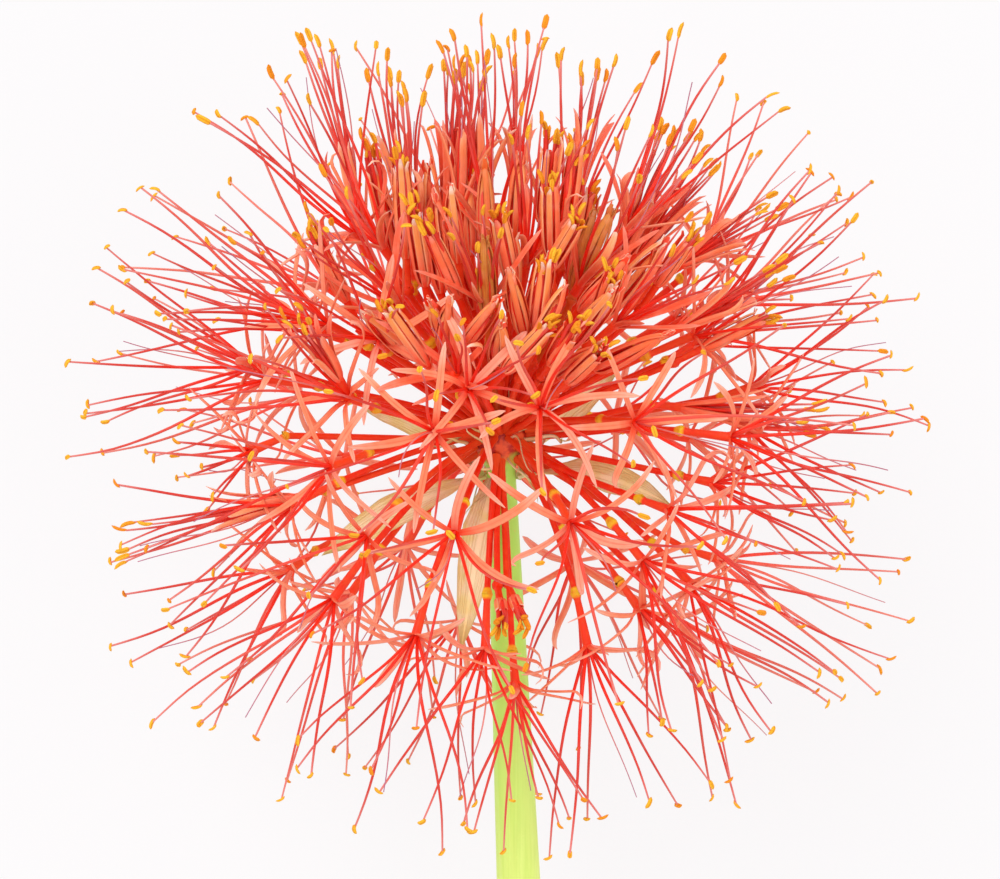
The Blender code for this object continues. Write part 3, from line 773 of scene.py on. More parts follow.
def finish_named(name):
    """The finish if it has been made already, or a new one in the scene's colours."""
    return bpy.data.materials.get(name) or FINISHES[name](bpy.context.scene.lily_colours)


# ---------- shaping the strands


DENSE = 12  # steps of a smooth curve between two given points
STATIONS = 15  # outlines along a tepal or a filament


def smooth_curve(points):
    """Many points on a smooth curve through a few."""
    points = np.asarray(points, float)
    ends = [2 * points[0] - points[1], *points, 2 * points[-1] - points[-2]]
    steps = np.linspace(0, 1, DENSE, endpoint=False)[:, None]
    dense = []
    for before, start, end, after in zip(ends, ends[1:], ends[2:], ends[3:]):
        dense.append(0.5 * (
            2 * start + (end - before) * steps
            + (2 * before - 5 * start + 4 * end - after) * steps**2
            + (3 * start - before - 3 * end + after) * steps**3))
    return np.vstack([*dense, points[-1:]])


def rows_at(places, knots, rows):
    """Rows of numbers read between the given ones."""
    return np.column_stack([np.interp(places, knots, column) for column in np.asarray(rows).T])


class Path:
    """A smooth curve through points, read by its length."""

    def __init__(self, points):
        self.dense = smooth_curve(points)
        gaps = np.linalg.norm(np.diff(self.dense, axis=0), axis=1)
        self.lengths = np.concatenate([[0], np.cumsum(gaps)])
        self.knots = self.lengths[::DENSE]
        self.length = self.lengths[-1]

    def at(self, distances):
        return rows_at(distances, self.lengths, self.dense)


def rolled(path, sides, start, turn):
    """Rolls the far end of a path about its own width."""
    steps = np.diff(path, axis=0)
    shares = np.clip((np.linspace(0, 1, len(steps)) - start) / (1 - start), 0, 1) ** 1.5
    moved = [path[0]]
    for step, side, share in zip(steps, sides, shares):
        moved.append(moved[-1] + turned(step, side, turn * share))
    return np.array(moved)


def across_from(places, sides):
    """The sides made square to the path."""
    tangents = tangents_of(places)
    return unit(sides - tangents * (sides * tangents).sum(axis=1)[:, None])


# Lean from the floret's axis, in radians, of its tepals at LEAN_SHARES of their length, and of its filaments.
LEAN_SHARES = (0, 0.22, 0.7, 0.93, 1)
TEPAL_LEANS = {
    "closed": (0.5, 0.03, -0.12, -0.42, 0.9),
    "budding": (0.5, 0.06, 0.0, -0.12, 0.9),
    "brush": (0.35, 0.2, 0.35, 0.55, 0.9),
    "open": (0.7, 1.35, 1.5, 1.6, 1.7),
}
FILAMENT_LEANS = {
    "closed": (0.2, 0.05, -0.06, -0.2, -0.2),
    "budding": (0.16, 0.04, 0.02, 0.04, 0.04),
    "brush": (0.09, 0.08),
    "open": (0.5, 0.45),
}


def leaning_line(start, axis, outward, leans, length, count):
    """A path that leaves the axis by the given leans."""
    shares = (np.arange(count - 1) + 0.5) / (count - 1)
    turns = np.interp(shares, (0, 1) if len(leans) == 2 else LEAN_SHARES, leans)
    steps = np.outer(np.cos(turns), axis) + np.outer(np.sin(turns), outward)
    return start + np.vstack([np.zeros(3), np.cumsum(steps, axis=0)]) * length / (count - 1)


def clothe(bones, tepal_length, reach, rng):
    """Gives bare bones the tepals and stamens of their form."""
    axis, first = bones.axis, any_side(bones.axis)
    start = rng.uniform(0, math.tau)
    for number in range(6):
        outward = turned(first, axis, start + math.tau * number / 6 + rng.uniform(-0.1, 0.1))
        inner = number % 2
        foot = bones.throat + outward * (0.95 - 0.15 * inner) * MM
        leans = np.array(TEPAL_LEANS[bones.form]) + rng.uniform(-0.04, 0.04) - 0.05 * inner
        leans[1:] += rng.uniform(-0.12, 0.12) if bones.is_free else 0
        leans[-1] += rng.uniform(-0.5, 0.3)
        path = leaning_line(foot, axis, outward, leans, tepal_length * rng.uniform(0.93, 1.05), 15)
        bones.tepals.append((path, np.cross(axis, [outward, outward])))
        outward = turned(first, axis, start + math.tau * (number + 0.5) / 6 + rng.uniform(-0.3, 0.3))
        leans = np.array(FILAMENT_LEANS[bones.form]) * rng.uniform(0.7, 1.3)
        foot = bones.rim + outward * rng.uniform(0.45, 0.75) * MM
        bones.stamens.append(leaning_line(foot, axis, outward, leans, reach * rng.uniform(0.86, 1.1), 7))


TUBE_LENGTH, OVARY_LENGTH = 5 * MM, 3 * MM
FOOT_DEPTH = 0.8  # share of the knob's radius at which a stalk starts


def grown(rng, form, throat, tip, tepal_length, reach, brown=0.0):
    """Bones of a floret that has no solid of its own, from the knob to the given throat."""
    throat, tip = flower_place(*throat), flower_place(*tip)
    axis, outward = unit(tip - throat), unit(throat - CENTRE)
    end = throat - axis * TUBE_LENGTH
    start = end - unit(axis + 0.6 * outward) * OVARY_LENGTH
    foot = CENTRE + outward * SCAPE_RADII[KNOB] * FOOT_DEPTH
    middle = (foot + start) / 2 + unit(rng.normal(size=3)) * 0.8 * MM
    stalk = np.array([foot, foot + outward * MM, middle, start, (start + end) / 2, end, throat])
    bones = Bones(form, stalk, throat + axis * RIM_HEIGHT, brown=brown)
    clothe(bones, tepal_length * MM, reach * MM, rng)
    return bones


OVARY_END, OVARY_SHOULDER = 1.6 * MM, 0.9 * MM  # distances from the ovary's middle


def add_stalk(guides, bones, sizes, tint):
    """The stalk, ovary and widening tube of a floret."""
    path = Path(np.array([bones.stalk[0], *bones.stalk[2:], bones.rim]))
    foot, end, throat, rim = path.knots[[2, 4, 5, 6]]
    middle = (foot + end) / 2
    low, high = middle - OVARY_END, middle + OVARY_END
    stalk, ovary, tube = sizes.stalk_radius, sizes.ovary_radius, sizes.tube_radius
    flare = tube * (1.4 if bones.is_free else 1.15)
    marks, radii, zones = zip(
        (0, stalk * 1.35, 0), (0.06 * foot, stalk, 0.05), (0.5 * foot, stalk * 0.95, 0.5), (low, stalk, 0.9),
        (middle - OVARY_SHOULDER, ovary * 0.8, 1.15), (middle, ovary, 1.5),
        (middle + OVARY_SHOULDER, ovary * 0.82, 1.85), (high, tube, 2.1), (throat, flare, 2.8),
        (rim, flare * 0.93, 3))
    distances = np.concatenate([
        np.linspace(0, low, 13)[:-1], np.linspace(low, high, 11)[:-1], np.linspace(high, rim, 9)])
    points = path.at(distances)
    radius = np.interp(distances, marks, radii)
    zone = np.interp(distances, marks, zones if bones.is_free else np.minimum(zones, 0.9))
    guides.add(points, carried_sides(points)[1], radius, radius, zone=zone, tint=tint, brown=bones.brown)


TEPAL_SHARES = (0, 0.06, 0.2, 0.5, 0.8, 0.93, 1)
TEPAL_WIDTHS = (0.7, 0.78, 0.95, 1.0, 0.9, 0.62, 0.14)
YOUNG_WIDTHS = (0.7, 0.78, 0.92, 1.0, 0.96, 0.84, 0.4)
FRESHNESS = {"closed": 1.0, "budding": 1.0, "brush": 0.55, "open": 0.0}


def add_tepals(guides, bones, sizes, rng):
    axis, is_free = bones.axis, bones.is_free
    share = np.linspace(0, 1, STATIONS)
    for points, given in bones.tepals:
        outward = points[1] - bones.throat
        outward = unit(outward - axis * (outward @ axis))
        start = bones.throat + outward * sizes.tube_radius * 1.1
        path = Path(np.array([start, *points[(0 if is_free else 1):]]))
        places = path.at(share * path.length)
        side = given[1] * (1 if given[1] @ given[0] > 0 else -1)
        first = np.clip(1 - share * 1.4, 0, 1)
        sides = across_from(places, np.outer(first, given[0]) + np.outer(1 - first, side))
        tangent = tangents_of(places)[3]
        inner = axis * (tangent @ outward) - outward * (tangent @ axis)
        if np.cross(tangent, sides[3]) @ inner < 0:
            sides = -sides
        if is_free:
            is_curled = rng.random() < sizes.tepal_curl * 0.3
            turn = rng.uniform(-2.8, -1.4) if is_curled else rng.uniform(-0.5, 0.4)
            places = rolled(places, sides, rng.uniform(0.5, 0.78) if is_curled else 0.1, turn)
            sway = np.sin(share * math.pi * rng.uniform(0.7, 1.4)) * rng.uniform(-0.6, 0.6) * MM
            places = places + sides * sway[:, None]
            twist = rng.uniform(-0.7, 0.7) * share**1.5
            sides = np.array([turned(*each) for each in zip(sides, tangents_of(places), twist)])
        sides = across_from(places, sides)
        widest = sizes.tepal_width * (rng.uniform(0.78, 1.15) if is_free else rng.uniform(0.76, 0.98))
        width = np.interp(share, TEPAL_SHARES, TEPAL_WIDTHS if is_free else YOUNG_WIDTHS) * widest
        depth = np.interp(share, (0, 0.1, 0.8, 1), (1.5, 1.0, 0.9, 0.3) if is_free else (1.5, 1.1, 1.1, 0.9))
        # Painted backlight: a far floret's tepals lean to the paler, pinker tint.
        tint = rng.uniform(0.55, 1) if bones.is_far else rng.uniform(0, 0.85)
        guides.add(places, sides, width, depth * sizes.tepal_thickness, tint=tint,
                   fresh=FRESHNESS[bones.form], brown=bones.brown)


def style_line(bones, rng):
    """The style: a fine strand that strays from the filaments."""
    ends = np.mean([path[-1] for path in bones.stamens], axis=0)
    away = turned(any_side(bones.axis), bones.axis, rng.uniform(0, math.tau))
    length = np.linalg.norm(ends - bones.rim)
    end = bones.rim + unit(ends - bones.rim + away * length * 0.14) * length * rng.uniform(0.75, 1.0)
    middle = (bones.rim + end) / 2 + unit(rng.normal(size=3)) * 2.5 * MM
    return np.array([bones.rim - bones.axis * 0.5 * MM, middle, end])


FULL_LENGTH = 40 * MM  # length of a filament that bows in full
BARE_SHARE = 0.975  # share of a filament's length that shows below its anther
YOUNG_THICKNESS, YOUNG_RIPENESS = 1.55, 0.55  # of filaments whose tepals haven't parted


def add_stamens(guides, anthers, bones, sizes, rng):
    """Filaments and style of a floret; the places of its anthers go into the list."""
    share = np.linspace(0, 1, STATIONS)
    arch, wave, droop = np.sin(share * math.pi), np.sin(share * math.tau), 1 - np.cos(share * math.pi / 2)
    strands = [(points, False) for points in bones.stamens]
    if bones.is_free:
        strands.append((style_line(bones, rng), True))
    common = unit(rng.normal(size=3) + ALONG * 0.5) * sizes.filament_bow * rng.uniform(0.3, 0.9)
    for points, is_style in strands:
        path = Path(points)
        places = path.at(share * path.length * (1 if is_style else BARE_SHARE))
        tangents, sides = carried_sides(places)
        ups = np.cross(tangents, sides)
        stretch = path.length / FULL_LENGTH
        bow = rng.uniform(-1, 1, 4) * sizes.filament_bow * stretch
        reach = places[-1] - places[0]
        outward = unit(reach - bones.axis * (reach @ bones.axis))
        sag = (0.3 + 0.5 * abs(bow[1] / MM)) * MM * outward * stretch
        places = places + arch[:, None] * (bow[0] * 0.6 * sides - sag)
        places = places + wave[:, None] * bow[2] * 0.3 * ups
        places = places + (droop * stretch)[:, None] * (bow[3] * 0.9 * ups + common)
        tangents, sides = carried_sides(places, sides[0])
        radius = sizes.style_radius if is_style else sizes.filament_radius
        radii = np.interp(share, (0, 0.06, 0.5, 1), (0.95, 1.12, 0.92, 0.6)) * radius * rng.uniform(0.9, 1.12)
        radii *= 1 if bones.is_free else YOUNG_THICKNESS
        # Painted backlight: a far floret's filaments lean to the paler, pinker tint.
        tint = rng.uniform(0.5, 1) if bones.is_far else rng.uniform(0, 0.7)
        guides.add(places, sides, radii, radii, tint=tint, is_style=float(is_style),
                   along=share * (1.0 if bones.is_free else YOUNG_RIPENESS))
        if not is_style and bones.form != "closed":
            anthers.append(anther_on(places[-1], tangents[-1], sides[-1], bones.form, sizes, rng))


def anther_on(end, tangent, side, form, sizes, rng):
    """Place, axis, side, size and tint of the anther at the end of a filament."""
    is_ripe = form == "open"
    lean = rng.uniform(0.4, 1.7) if is_ripe else rng.uniform(0.05, 0.8 if form == "budding" else 0.4)
    spin = rng.uniform(0, math.tau)
    square = side * math.cos(spin) + np.cross(tangent, side) * math.sin(spin)
    direction = tangent * math.cos(lean) + square * math.sin(lean)
    length = sizes.anther_length * (rng.uniform(0.8, 1.15) if is_ripe else rng.uniform(1.25, 1.6))
    width = sizes.anther_width * (rng.uniform(0.85, 1.1) if is_ripe else rng.uniform(1.0, 1.25))
    place = end + direction * length * (0.12 if is_ripe else 0.4)
    tint = rng.random() if is_ripe else rng.uniform(0.45, 1)
    return place, direction, unit(np.cross(direction, tangent)), (width, width * 0.8, length), tint


BRACT_STATIONS = 34
BLADE_WIDTH = 1.3  # the blade's width over its solid's


def add_blade(guides, node, sizes, rng):
    """The papery blade of a bract."""
    centres, given, halves = read_bract(node)
    path = Path(centres)
    share = np.linspace(0, 1, BRACT_STATIONS)
    places, knots = path.at(share * path.length), path.knots / path.length
    sides = [given[0]]
    for side in given[1:]:
        sides.append(side if side @ sides[-1] > 0 else -side)
    sides = across_from(places, rows_at(share, knots, sides))
    width = np.maximum(np.interp(share, knots, halves) * BLADE_WIDTH, 0.05 * MM)
    depth = np.full(BRACT_STATIONS, sizes.bract_thickness)
    depth[-1] *= 0.4
    guides.add(rolled(places, sides, 0.55, rng.uniform(-0.8, 0.8)), sides, width, depth, tint=rng.random())


THREADS = 22
THREAD_STATIONS = 22
THREAD_STEPS = 6


def add_threads(guides, sizes, rng):
    """Curly threads that grow between the stalks."""
    share = np.linspace(0, 1, THREAD_STATIONS)
    for _ in range(THREADS):
        heading = unit(rng.normal(size=3) + FACING * 0.9 + ACROSS * 0.35 - ALONG * 0.25)
        length = rng.uniform(9, 21) * MM
        points = [CENTRE + heading * SCAPE_RADII[KNOB] * 0.7]
        for _ in range(THREAD_STEPS):
            points.append(points[-1] + heading * length / THREAD_STEPS)
            heading = unit(heading + rng.normal(size=3) * 0.33)
        path = Path(points)
        places = path.at(share * path.length)
        width = np.interp(share, (0, 0.5, 0.9, 1), (1, 0.85, 0.6, 0.2)) * sizes.thread_radius
        width = width * rng.uniform(0.7, 1.2)
        guides.add(places, carried_sides(places)[1], width, width * 0.4, tint=rng.random())


STEM_STATIONS = 90
# Rings of the cut end, from its middle out: shares of the stem's radius, and millimetres into the stem.
CUT_SHARES = (0.02, 0.3, 0.55, 0.8, 0.93, 0.99)
CUT_DEPTHS = (0.9, 0.8, 0.55, 0.2, 0.0, 0.05)
TOP_SHARES, TOP_HEIGHTS = (0.75, 0.4, 0.05), (0.25, 0.45, 0.5)
CUT_ZONE, KNOB_ZONE = -1.0, 1.0  # what "zone" says on the cut end and on the knob; it is 0 on the stem


def add_stem(guides):
    """The stem with a flat, slightly hollow cut end and the knob that carries the stalks."""
    path = Path(SCAPE_CENTRES)
    distances = np.linspace(0, path.length, STEM_STATIONS)
    places = path.at(distances)
    sides = carried_sides(places, ACROSS)[1]
    radii = np.interp(distances, path.knots, SCAPE_RADII)
    zone = np.clip((distances - (path.knots[KNOB] - 7 * MM)) / (5 * MM), 0, 1)
    inward = unit(places[1] - places[0])
    cut = places[0] + np.outer(np.array(CUT_DEPTHS) * MM, inward)
    top = places[-1] + np.outer(TOP_HEIGHTS, unit(places[-1] - places[-2])) * MM
    added = (len(cut), len(top))
    places = np.vstack([cut, places[:1] + inward * 0.35 * MM, places[1:], top])
    sides = np.pad(sides, (added, (0, 0)), "edge")
    radii = np.concatenate([np.array(CUT_SHARES) * SCAPE_RADII[0], radii, radii[-1] * np.array(TOP_SHARES)])
    zone = np.pad(zone, added, constant_values=(CUT_ZONE, KNOB_ZONE))
    guides.add(places, sides, radii, radii, zone=zone)


def rng_for(name):
    """Random numbers of its own for each piece, the same on every run."""
    return np.random.default_rng([SEED, *name.encode()])


def swept(guides, name, first=0, total=None, **sizes):
    """The mesh swept along the guides, with its finish and its part of the map."""
    tree = bpy.data.node_groups.get("Swept strands") or sweep_tree()
    mesh = made_by(tree, guides.mesh(f"{name} guides"), finish_named(name), **sizes)
    lay_out(mesh, first, total or len(guides.rows))
    return mesh


STRAND_SIDES = {"Stalk ovary and tube": 10, "Tepal": 8, "Filament and style": 7}


def floret_guides(florets, settings, rng, anthers):
    """Guides for the stalks, the tepals and the filaments of some florets; their anthers go into the list."""
    stalks, tepals, filaments = guides = [Guides() for _ in STRAND_SIDES]
    for bones in florets:
        add_stalk(stalks, bones, settings, rng.random())
        add_tepals(tepals, bones, settings, rng)
        add_stamens(filaments, anthers, bones, settings, rng)
    return dict(zip(STRAND_SIDES, guides))


def floret_meshes(guides, names, settings):
    """Meshes of the strands of these names, which share one map."""
    total, first, meshes = sum(len(guides[name].rows) for name in names), 0, []
    for name in names:
        fold = settings.tepal_fold if name == "Tepal" else 0.0
        meshes.append(swept(guides[name], name, first, total, sides=STRAND_SIDES[name], fold=fold))
        first += len(guides[name].rows)
    return meshes


def add_anthers(name, anthers, *nodes):
    """A piece of anthers, one on every place in the list."""
    places, *columns = map(np.array, zip(*anthers))
    table = {**dict(zip(("axis", "side", "size", "tint"), columns)), "strand": np.arange(len(anthers))}
    tree = bpy.data.node_groups.get("Anthers on filaments") or anther_tree()
    guides = bare_mesh("Anther places", places, np.empty((0, 2), int), table)
    mesh = made_by(tree, guides, finish_named("Pollen"))
    lay_out(mesh, 0, len(anthers), rows=4)
    add_piece(name, [mesh], "anther_gold", *nodes)


DIRECTIONS = {
    "right": ACROSS, "left": -ACROSS, "top": ALONG, "bottom": -ALONG, "front": FACING, "back": -FACING}


def direction_name(point):
    """Which way a floret looks from the middle of the head."""
    return max(DIRECTIONS, key=lambda name: (point - CENTRE) @ DIRECTIONS[name])


# ---------- operators


class BuildStem(bpy.types.Operator):
    """Builds the green stem with its cut end and knob"""

    bl_idname = "blood_lily.stem"
    bl_label = "Stem"

    def execute(self, context):
        guides = Guides()
        add_stem(guides)
        mesh = swept(guides, "Waxy stem", sides=48, ribs=9.0, rib_depth=0.006, rib_twist=0.5)
        zones = numbers(mesh, "zone")
        for polygon in mesh.polygons:
            polygon.use_smooth = any(zones[point] >= 0 for point in polygon.vertices)
        add_piece("stem", [mesh], "scape_skin", "scape")
        return {"FINISHED"}


class BuildBracts(bpy.types.Operator):
    """Builds the dry papery bracts under the head"""

    bl_idname = "blood_lily.bracts"
    bl_label = "Bracts"

    def execute(self, context):
        settings = context.scene.lily_sizes
        for number, node in enumerate(BRACTS):
            guides = Guides()
            add_blade(guides, node, settings, rng_for(node))
            mesh = swept(guides, "Dry bract", sides=26, fold=0.25, wave=settings.bract_wave * 2,
                         wave_size=170.0, seed=SEED + number)
            add_piece(f"{node}_blade", [mesh], "dry_bract", node)
        guides = Guides()
        add_threads(guides, settings, rng_for("threads"))
        add_piece("knob_threads", [swept(guides, "Dry bract", sides=6)], "dry_bract", *BRACTS)
        return {"FINISHED"}


class BuildFlorets(bpy.types.Operator):
    """Builds the florets: stalks, tepals, filaments and anthers"""

    bl_idname = "blood_lily.florets"
    bl_label = "Florets"

    def execute(self, context):
        settings = context.scene.lily_sizes
        stalk, tepal, filament = STRAND_SIDES
        parts = {"perianth": ((stalk, tepal), "floret_red"), "stamens": ((filament,), "filament_red")}
        pollen = {}
        for node in FLORETS:
            bones = read_bones(node)
            anthers, nodes = pollen.setdefault(direction_name(bones.throat), ([], []))
            guides = floret_guides([bones], settings, rng_for(node), anthers)
            nodes.append(node)
            for part, (strands, slot) in parts.items():
                add_piece(f"{node}_{part}", floret_meshes(guides, strands, settings), slot, node)
        for where, (anthers, nodes) in sorted(pollen.items()):
            add_anthers(f"anthers_{where}", anthers, *nodes)
        return {"FINISHED"}


class BuildBuds(bpy.types.Operator):
    """Builds the closed buds of the crown: six straps pinched together over red filaments"""

    bl_idname = "blood_lily.buds"
    bl_label = "Buds"

    def execute(self, context):
        settings = context.scene.lily_sizes
        for node in BUDS:
            rng, bones = rng_for(node), read_bones(node)
            clothe(bones, bones.height * 1.03, bones.height * 0.62, rng)
            guides = floret_guides([bones], settings, rng, [])
            add_piece(f"{node}_body", floret_meshes(guides, STRAND_SIDES, settings), "bud_salmon", node)
        return {"FINISHED"}


# Florets that have no solid, piece by piece: form, throat and tip in millimetres across, along and facing,
# the length of their tepals, how far their filaments reach and, of those that have dried, how brown they are.
CROWN = {"crown_left": (
    ("closed", (-8.3, 35.6, 27), (-9.9, 51, 33), 16.5, 10, 0.1),
    ("closed", (-2.7, 40.4, 20), (-3.3, 57, 24), 17.5, 10, 0.45),
    ("closed", (-2.5, 24.5, 33), (-3.4, 40.5, 41), 18, 10, 1.0),
    ("budding", (-8.3, 28.4, 32), (-14.2, 41.6, 40), 16, 17),
    ("closed", (-11.4, 18.2, 36), (-9.8, 28.6, 50), 16, 10, 0.15),
    ("closed", (-6.6, 19.3, 40), (-0.2, 27.5, 52), 16, 10, 0.1),
    ("budding", (-22, 38, 6), (-27, 60, 8), 18, 21),
    ("budding", (-19, 36.8, 16), (-20.3, 60, 18), 20, 19, 0.15),
    ("budding", (-15, 31, 26), (-17.5, 47, 34), 17, 16),
    ("closed", (-14, 40, 6), (-15, 58, 8), 18, 10, 0.1),
    ("budding", (-14.5, 15, 38), (-22, 25.7, 48), 17, 15),
    ("closed", (-6, 38, 4), (-7, 58, 6), 18, 10, 0.1),
    ("budding", (-3, 36, -2), (-4, 62, -2), 19, 20),
    ("closed", (-12, 30, 12), (-15, 48, 16), 17, 10),
), "crown_right": (
    ("budding", (2.5, 31, 31), (-0.6, 45.5, 38), 16, 14),
    ("closed", (4.8, 20.5, 37), (1.4, 34.6, 46), 16.5, 10, 0.2),
    ("budding", (10.4, 36.8, 24), (10.1, 51, 29), 15.5, 13.5),
    ("budding", (13, 41, 14), (15, 60.5, 17), 20, 17, 0.1),
    ("budding", (8.5, 44.5, 10), (10.4, 63, 12), 15, 17.5),
    ("closed", (14.9, 30.4, 15), (20, 48.4, 19), 18.5, 11, 0.9),
    ("closed", (17, 34, 19), (23.2, 47.8, 24), 15.5, 9, 0.85),
    ("budding", (7.2, 20.7, 36), (9, 36.5, 44), 17, 14),
    ("budding", (9.7, 34.2, 28), (15.5, 44, 36), 14, 12),
    ("budding", (19, 23, 30), (22.6, 33, 42), 15.5, 13.5, 0.1),
    ("budding", (10, 15, 42), (15.3, 22, 56), 15, 15, 0.1),
    ("budding", (1, 13.5, 41), (11.5, 24.5, 50), 15, 13),
    ("closed", (6.5, 17.5, 38), (14, 33, 47), 17, 10),
    ("budding", (13.5, 11.5, 42), (20, 17.5, 54), 14, 13.5, 0.05),
    ("closed", (16, 26, 24), (27, 38, 32), 17, 10),
    ("closed", (3, 41, 12), (4, 59, 14), 18, 10, 0.2),
    ("closed", (9, 30, 8), (12, 50, 11), 18, 10, 0.2),
    ("budding", (14, 33, 4), (19, 55, 5), 19, 17),
    ("closed", (2, 26, 22), (2.5, 44, 28), 17, 10, 0.1),
), "crown_top": (
    ("brush", (-11.2, 48.6, -3), (-9.9, 73.5, -3), 19, 25),
    ("brush", (-7.9, 48.6, 6), (-5.5, 75, 8), 17, 27),
    ("brush", (3.3, 50, -6), (4.5, 80, -8), 18, 31),
    ("brush", (16.1, 50.7, -5), (18.7, 74.5, -6), 18, 25),
    ("brush", (-18, 38.3, 8), (-18.5, 70, 12), 19, 33),
    ("brush", (-29, 45, -6), (-37, 82, -10), 18, 37),
    ("brush", (-20, 46, 0), (-25, 76, 0), 19, 30),
    ("brush", (-4, 47, -4), (-5, 76, -6), 20, 28),
)}
SIDES = {"side_upper_right": (
    ("brush", (24.8, 36.8, 6), (37.3, 62.1, 8), 17, 27),
    ("brush", (23.8, 37.8, 3), (34, 62.1, 4), 17, 26),
    ("brush", (37.3, 36, 2), (54.9, 48.6, 2), 16, 20),
    ("brush", (28, 38, 0), (46, 60, 0), 20, 25),
    ("open", (42, 38, -12), (58, 54, -16), 18, 36),
    ("open", (46, 28.4, -6), (66, 36, -8), 18.5, 36),
    ("budding", (41.4, 18.6, 10), (56.3, 25.9, 10), 15, 13.5, 0.1),
    ("budding", (32, 31.5, 14), (39, 41.5, 18), 12, 11),
), "side_upper_left": (
    ("open", (-29, 41.4, 6), (-42, 66, 10), 18.5, 40),
    ("budding", (-31, 28, 22), (-37.3, 40.4, 26), 14, 14.5),
    ("open", (-30, 8.3, 32), (-44, 14, 42), 18.5, 36),
    ("open", (-40, 24.5, 10), (-61, 31, 14), 18.5, 40),
    ("open", (-50, 15, 4), (-72, 19, 5), 18.5, 38),
    ("open", (-24, 20, 30), (-28, 26, 47), 18, 28),
    ("brush", (-32, 12, 36), (-37, 20, 46), 16, 18),
    ("open", (-37, 22, 14), (-54, 28, 20), 17, 28),
    ("open", (-50, -2, 10), (-66, -9, 14), 18, 15),
), "side_lower_left": (
    ("open", (-43.5, -27, -6), (-58, -37.7, -9), 18.5, 40),
    ("brush", (-42, -12, 8), (-58, -16, 10), 18, 35),
), "side_right": (
    ("brush", (37.3, 6.6, 6), (60, 4.6, 8), 18, 26),
    ("open", (43, -8.7, 10), (64, -13, 13), 18.5, 34),
    ("open", (52, 10.8, -4), (72, 17, -6), 18.5, 35),
    ("open", (40, 19.5, -4), (60, 31, -6), 18.5, 44),
    ("open", (50.7, 2.5, 4), (70, -5, 5), 18.5, 33),
    ("brush", (37, 23, 14), (52, 31, 18), 17, 22),
), "side_lower_right": (
    ("open", (33.5, -14, 27), (50, -20, 37), 18.5, 38),
    ("open", (45, -24.8, -6), (64, -31, -8), 18.5, 40),
    ("open", (36.2, -36.8, -8), (48, -52, -10), 18.5, 40),
    ("open", (28, -34, 16), (38, -48, 22), 17, 28),
), "front_florets": (
    ("open", (-6.2, 9.9, 43), (-2, 13, 60), 17, 24),
    ("open", (3.1, -49.5, 12), (5, -70, 16), 18.5, 33),
    ("budding", (0, -32.5, 26), (0.8, -37, 35), 5, 8.5),
    ("budding", (2.8, -32, 25), (4.6, -36, 33), 5, 8.5),
)}


def add_groups(table, names, anthers_name, settings):
    """Pieces of grown florets, one for each row of the table, and one piece of all their anthers.
    Each piece stands for the solids that its florets crowd."""
    throats = {name: read_bones(name).throat for name in names}

    def nearest(throat):
        return min(names, key=lambda name: np.linalg.norm(throats[name] - flower_place(*throat)))

    anthers, all_nodes = [], set()
    for name, rows in table.items():
        rng = rng_for(name)
        guides = floret_guides((grown(rng, *row) for row in rows), settings, rng, anthers)
        nodes = {nearest(row[1]) for row in rows}
        add_piece(name, floret_meshes(guides, STRAND_SIDES, settings), "bud_salmon", *sorted(nodes))
        all_nodes |= nodes
    add_anthers(anthers_name, anthers, *sorted(all_nodes))


class BuildCrown(bpy.types.Operator):
    """Builds the crowded young florets of the crown that have no solids of their own"""

    bl_idname = "blood_lily.crown"
    bl_label = "Crown"

    def execute(self, context):
        add_groups(CROWN, BUDS, "anthers_crown", context.scene.lily_sizes)
        return {"FINISHED"}


class BuildSides(bpy.types.Operator):
    """Builds the florets between the others that have no solids of their own"""

    bl_idname = "blood_lily.sides"
    bl_label = "Side florets"

    def execute(self, context):
        add_groups(SIDES, FLORETS, "anthers_sides", context.scene.lily_sizes)
        return {"FINISHED"}


# In metres, but for the camera's sensor, which is in millimetres, and the floor's share of plain white.
HEAD_DISTANCE = 0.9
SENSOR = 36.0
VIEW_WIDTH = 0.207
FLOOR_SIZE = 6
FLOOR_WHITE = 0.89


def studio_floor(colour):
    """Pale floor that the camera sees as nearly white, with a soft shadow left on it."""
    bpy.ops.mesh.primitive_plane_add(size=FLOOR_SIZE, location=(0, 0, 0))
    floor = bpy.context.object
    floor.name = "floor"
    paint = Paint("Pale floor", roughness=0.9, specular_ior_level=0.1)
    paint.link("Base Color", paint.over(colour, ((0.8, 0.8, 0.8), paint.noise(60, 3.0), 0.3, 0.7, 0.02)))
    share = paint.node("ShaderNodeLightPath")["Is Camera Ray"] * FLOOR_WHITE
    white = paint.node("ShaderNodeEmission", {"Color": (0.957, 0.942, 0.95), "Strength": 1.0})
    lit = Value(paint, paint.shader.outputs[0])
    mixed = paint.node("ShaderNodeMixShader", {0: share, 1: lit, 2: white})
    paint.tree.links.new(mixed.socket, paint.tree.nodes["Material Output"].inputs["Surface"])
    floor.data.materials.append(paint.material)


def studio_lamp(name, place, size, power):
    """A square lamp that looks at the middle of the flower's head."""
    lamp = bpy.data.lights.new(name, "AREA")
    lamp.shape, lamp.size, lamp.energy = "SQUARE", size, power
    obj = bpy.data.objects.new(name, lamp)
    obj.location = Vector(CENTRE) + Vector(place)
    obj.rotation_euler = (Vector(CENTRE) - obj.location).to_track_quat("-Z", "Y").to_euler()
    bpy.context.scene.collection.objects.link(obj)


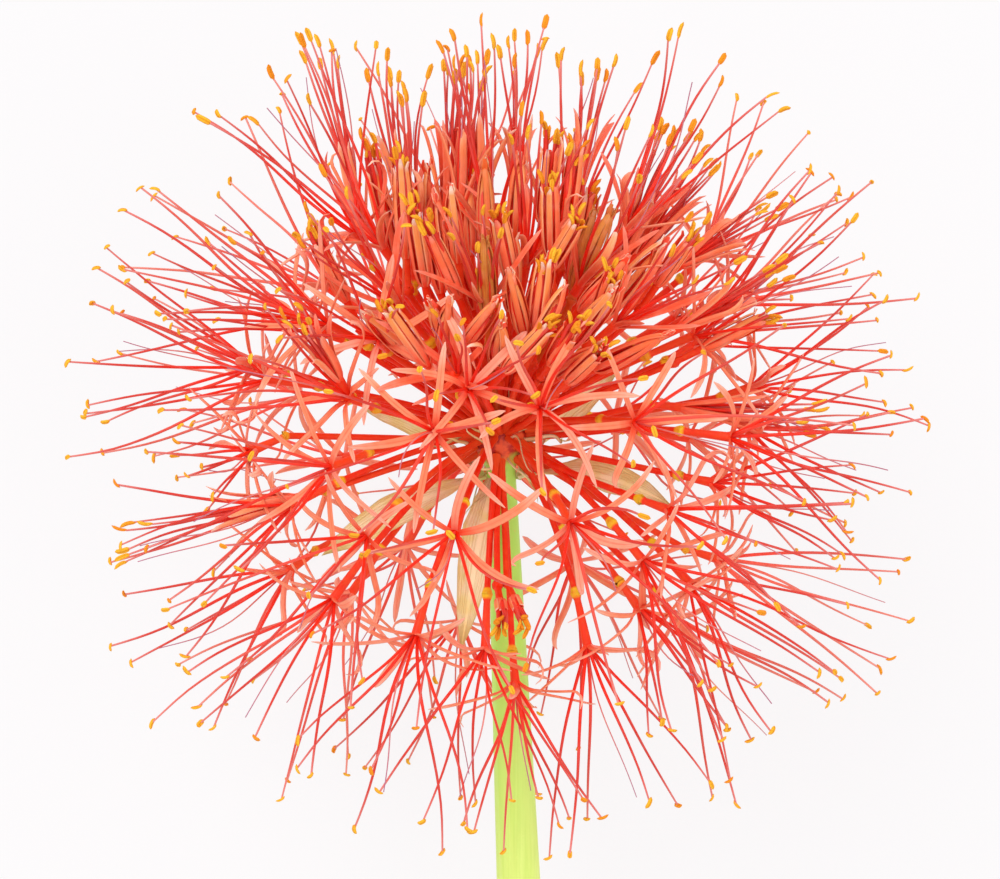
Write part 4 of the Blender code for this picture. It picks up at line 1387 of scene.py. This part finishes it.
class BuildStage(bpy.types.Operator):
    """Builds the pale floor, the soft light and the camera"""

    bl_idname = "blood_lily.stage"
    bl_label = "Stage"

    def execute(self, context):
        scene = context.scene
        studio_floor(scene.lily_colours.floor)
        world = bpy.data.worlds.new("Soft room")
        world.use_nodes = True
        sky = world.node_tree.nodes["Background"].inputs
        sky["Color"].default_value = (1, 1, 1, 1)
        sky["Strength"].default_value = 0.86
        scene.world = world
        studio_lamp("key lamp", (-0.7, 0.7, 1.6), 0.9, 15.5)
        studio_lamp("fill lamp", (0.9, -0.5, 1.3), 1.2, 6.5)
        camera = bpy.data.cameras.new("camera")
        camera.sensor_width = SENSOR
        camera.lens = SENSOR * HEAD_DISTANCE / VIEW_WIDTH
        camera.clip_start, camera.clip_end = 0.01, 20
        obj = bpy.data.objects.new("camera", camera)
        axes = Matrix([ACROSS, ALONG, FACING]).transposed().to_4x4()
        obj.matrix_world = Matrix.Translation(Vector(CENTRE + FACING * HEAD_DISTANCE)) @ axes
        scene.collection.objects.link(obj)
        scene.camera = obj
        scene.view_settings.view_transform = "Standard"
        return {"FINISHED"}


class LilyPanel(bpy.types.Panel):
    """Lists the steps that build the flower, and its sizes and colours"""

    bl_idname = "VIEW3D_PT_blood_lily"
    bl_label = "Blood Lily"
    bl_space_type = "VIEW_3D"
    bl_region_type = "UI"
    bl_category = "Blood Lily"

    def draw(self, context):
        layout = self.layout
        for step in STEPS:
            layout.operator(step.bl_idname)
        for settings in (context.scene.lily_sizes, context.scene.lily_colours):
            for name in settings.bl_rna.properties.keys():
                if name not in ("rna_type", "name"):
                    layout.prop(settings, name)


STEPS = (BuildStem, BuildBracts, BuildFlorets, BuildBuds, BuildCrown, BuildSides, BuildStage)
CLASSES = (LilySizes, LilyColours, *STEPS, LilyPanel)


def register():
    for kind in CLASSES:
        bpy.utils.register_class(kind)
    bpy.types.Scene.lily_sizes = bpy.props.PointerProperty(type=LilySizes)
    bpy.types.Scene.lily_colours = bpy.props.PointerProperty(type=LilyColours)


def unregister():
    del bpy.types.Scene.lily_colours
    del bpy.types.Scene.lily_sizes
    for kind in reversed(CLASSES):
        bpy.utils.unregister_class(kind)


def main():
    register()
    for step in STEPS:
        group, name = step.bl_idname.split(".")
        getattr(getattr(bpy.ops, group), name)()


if __name__ == "__main__":
    main()
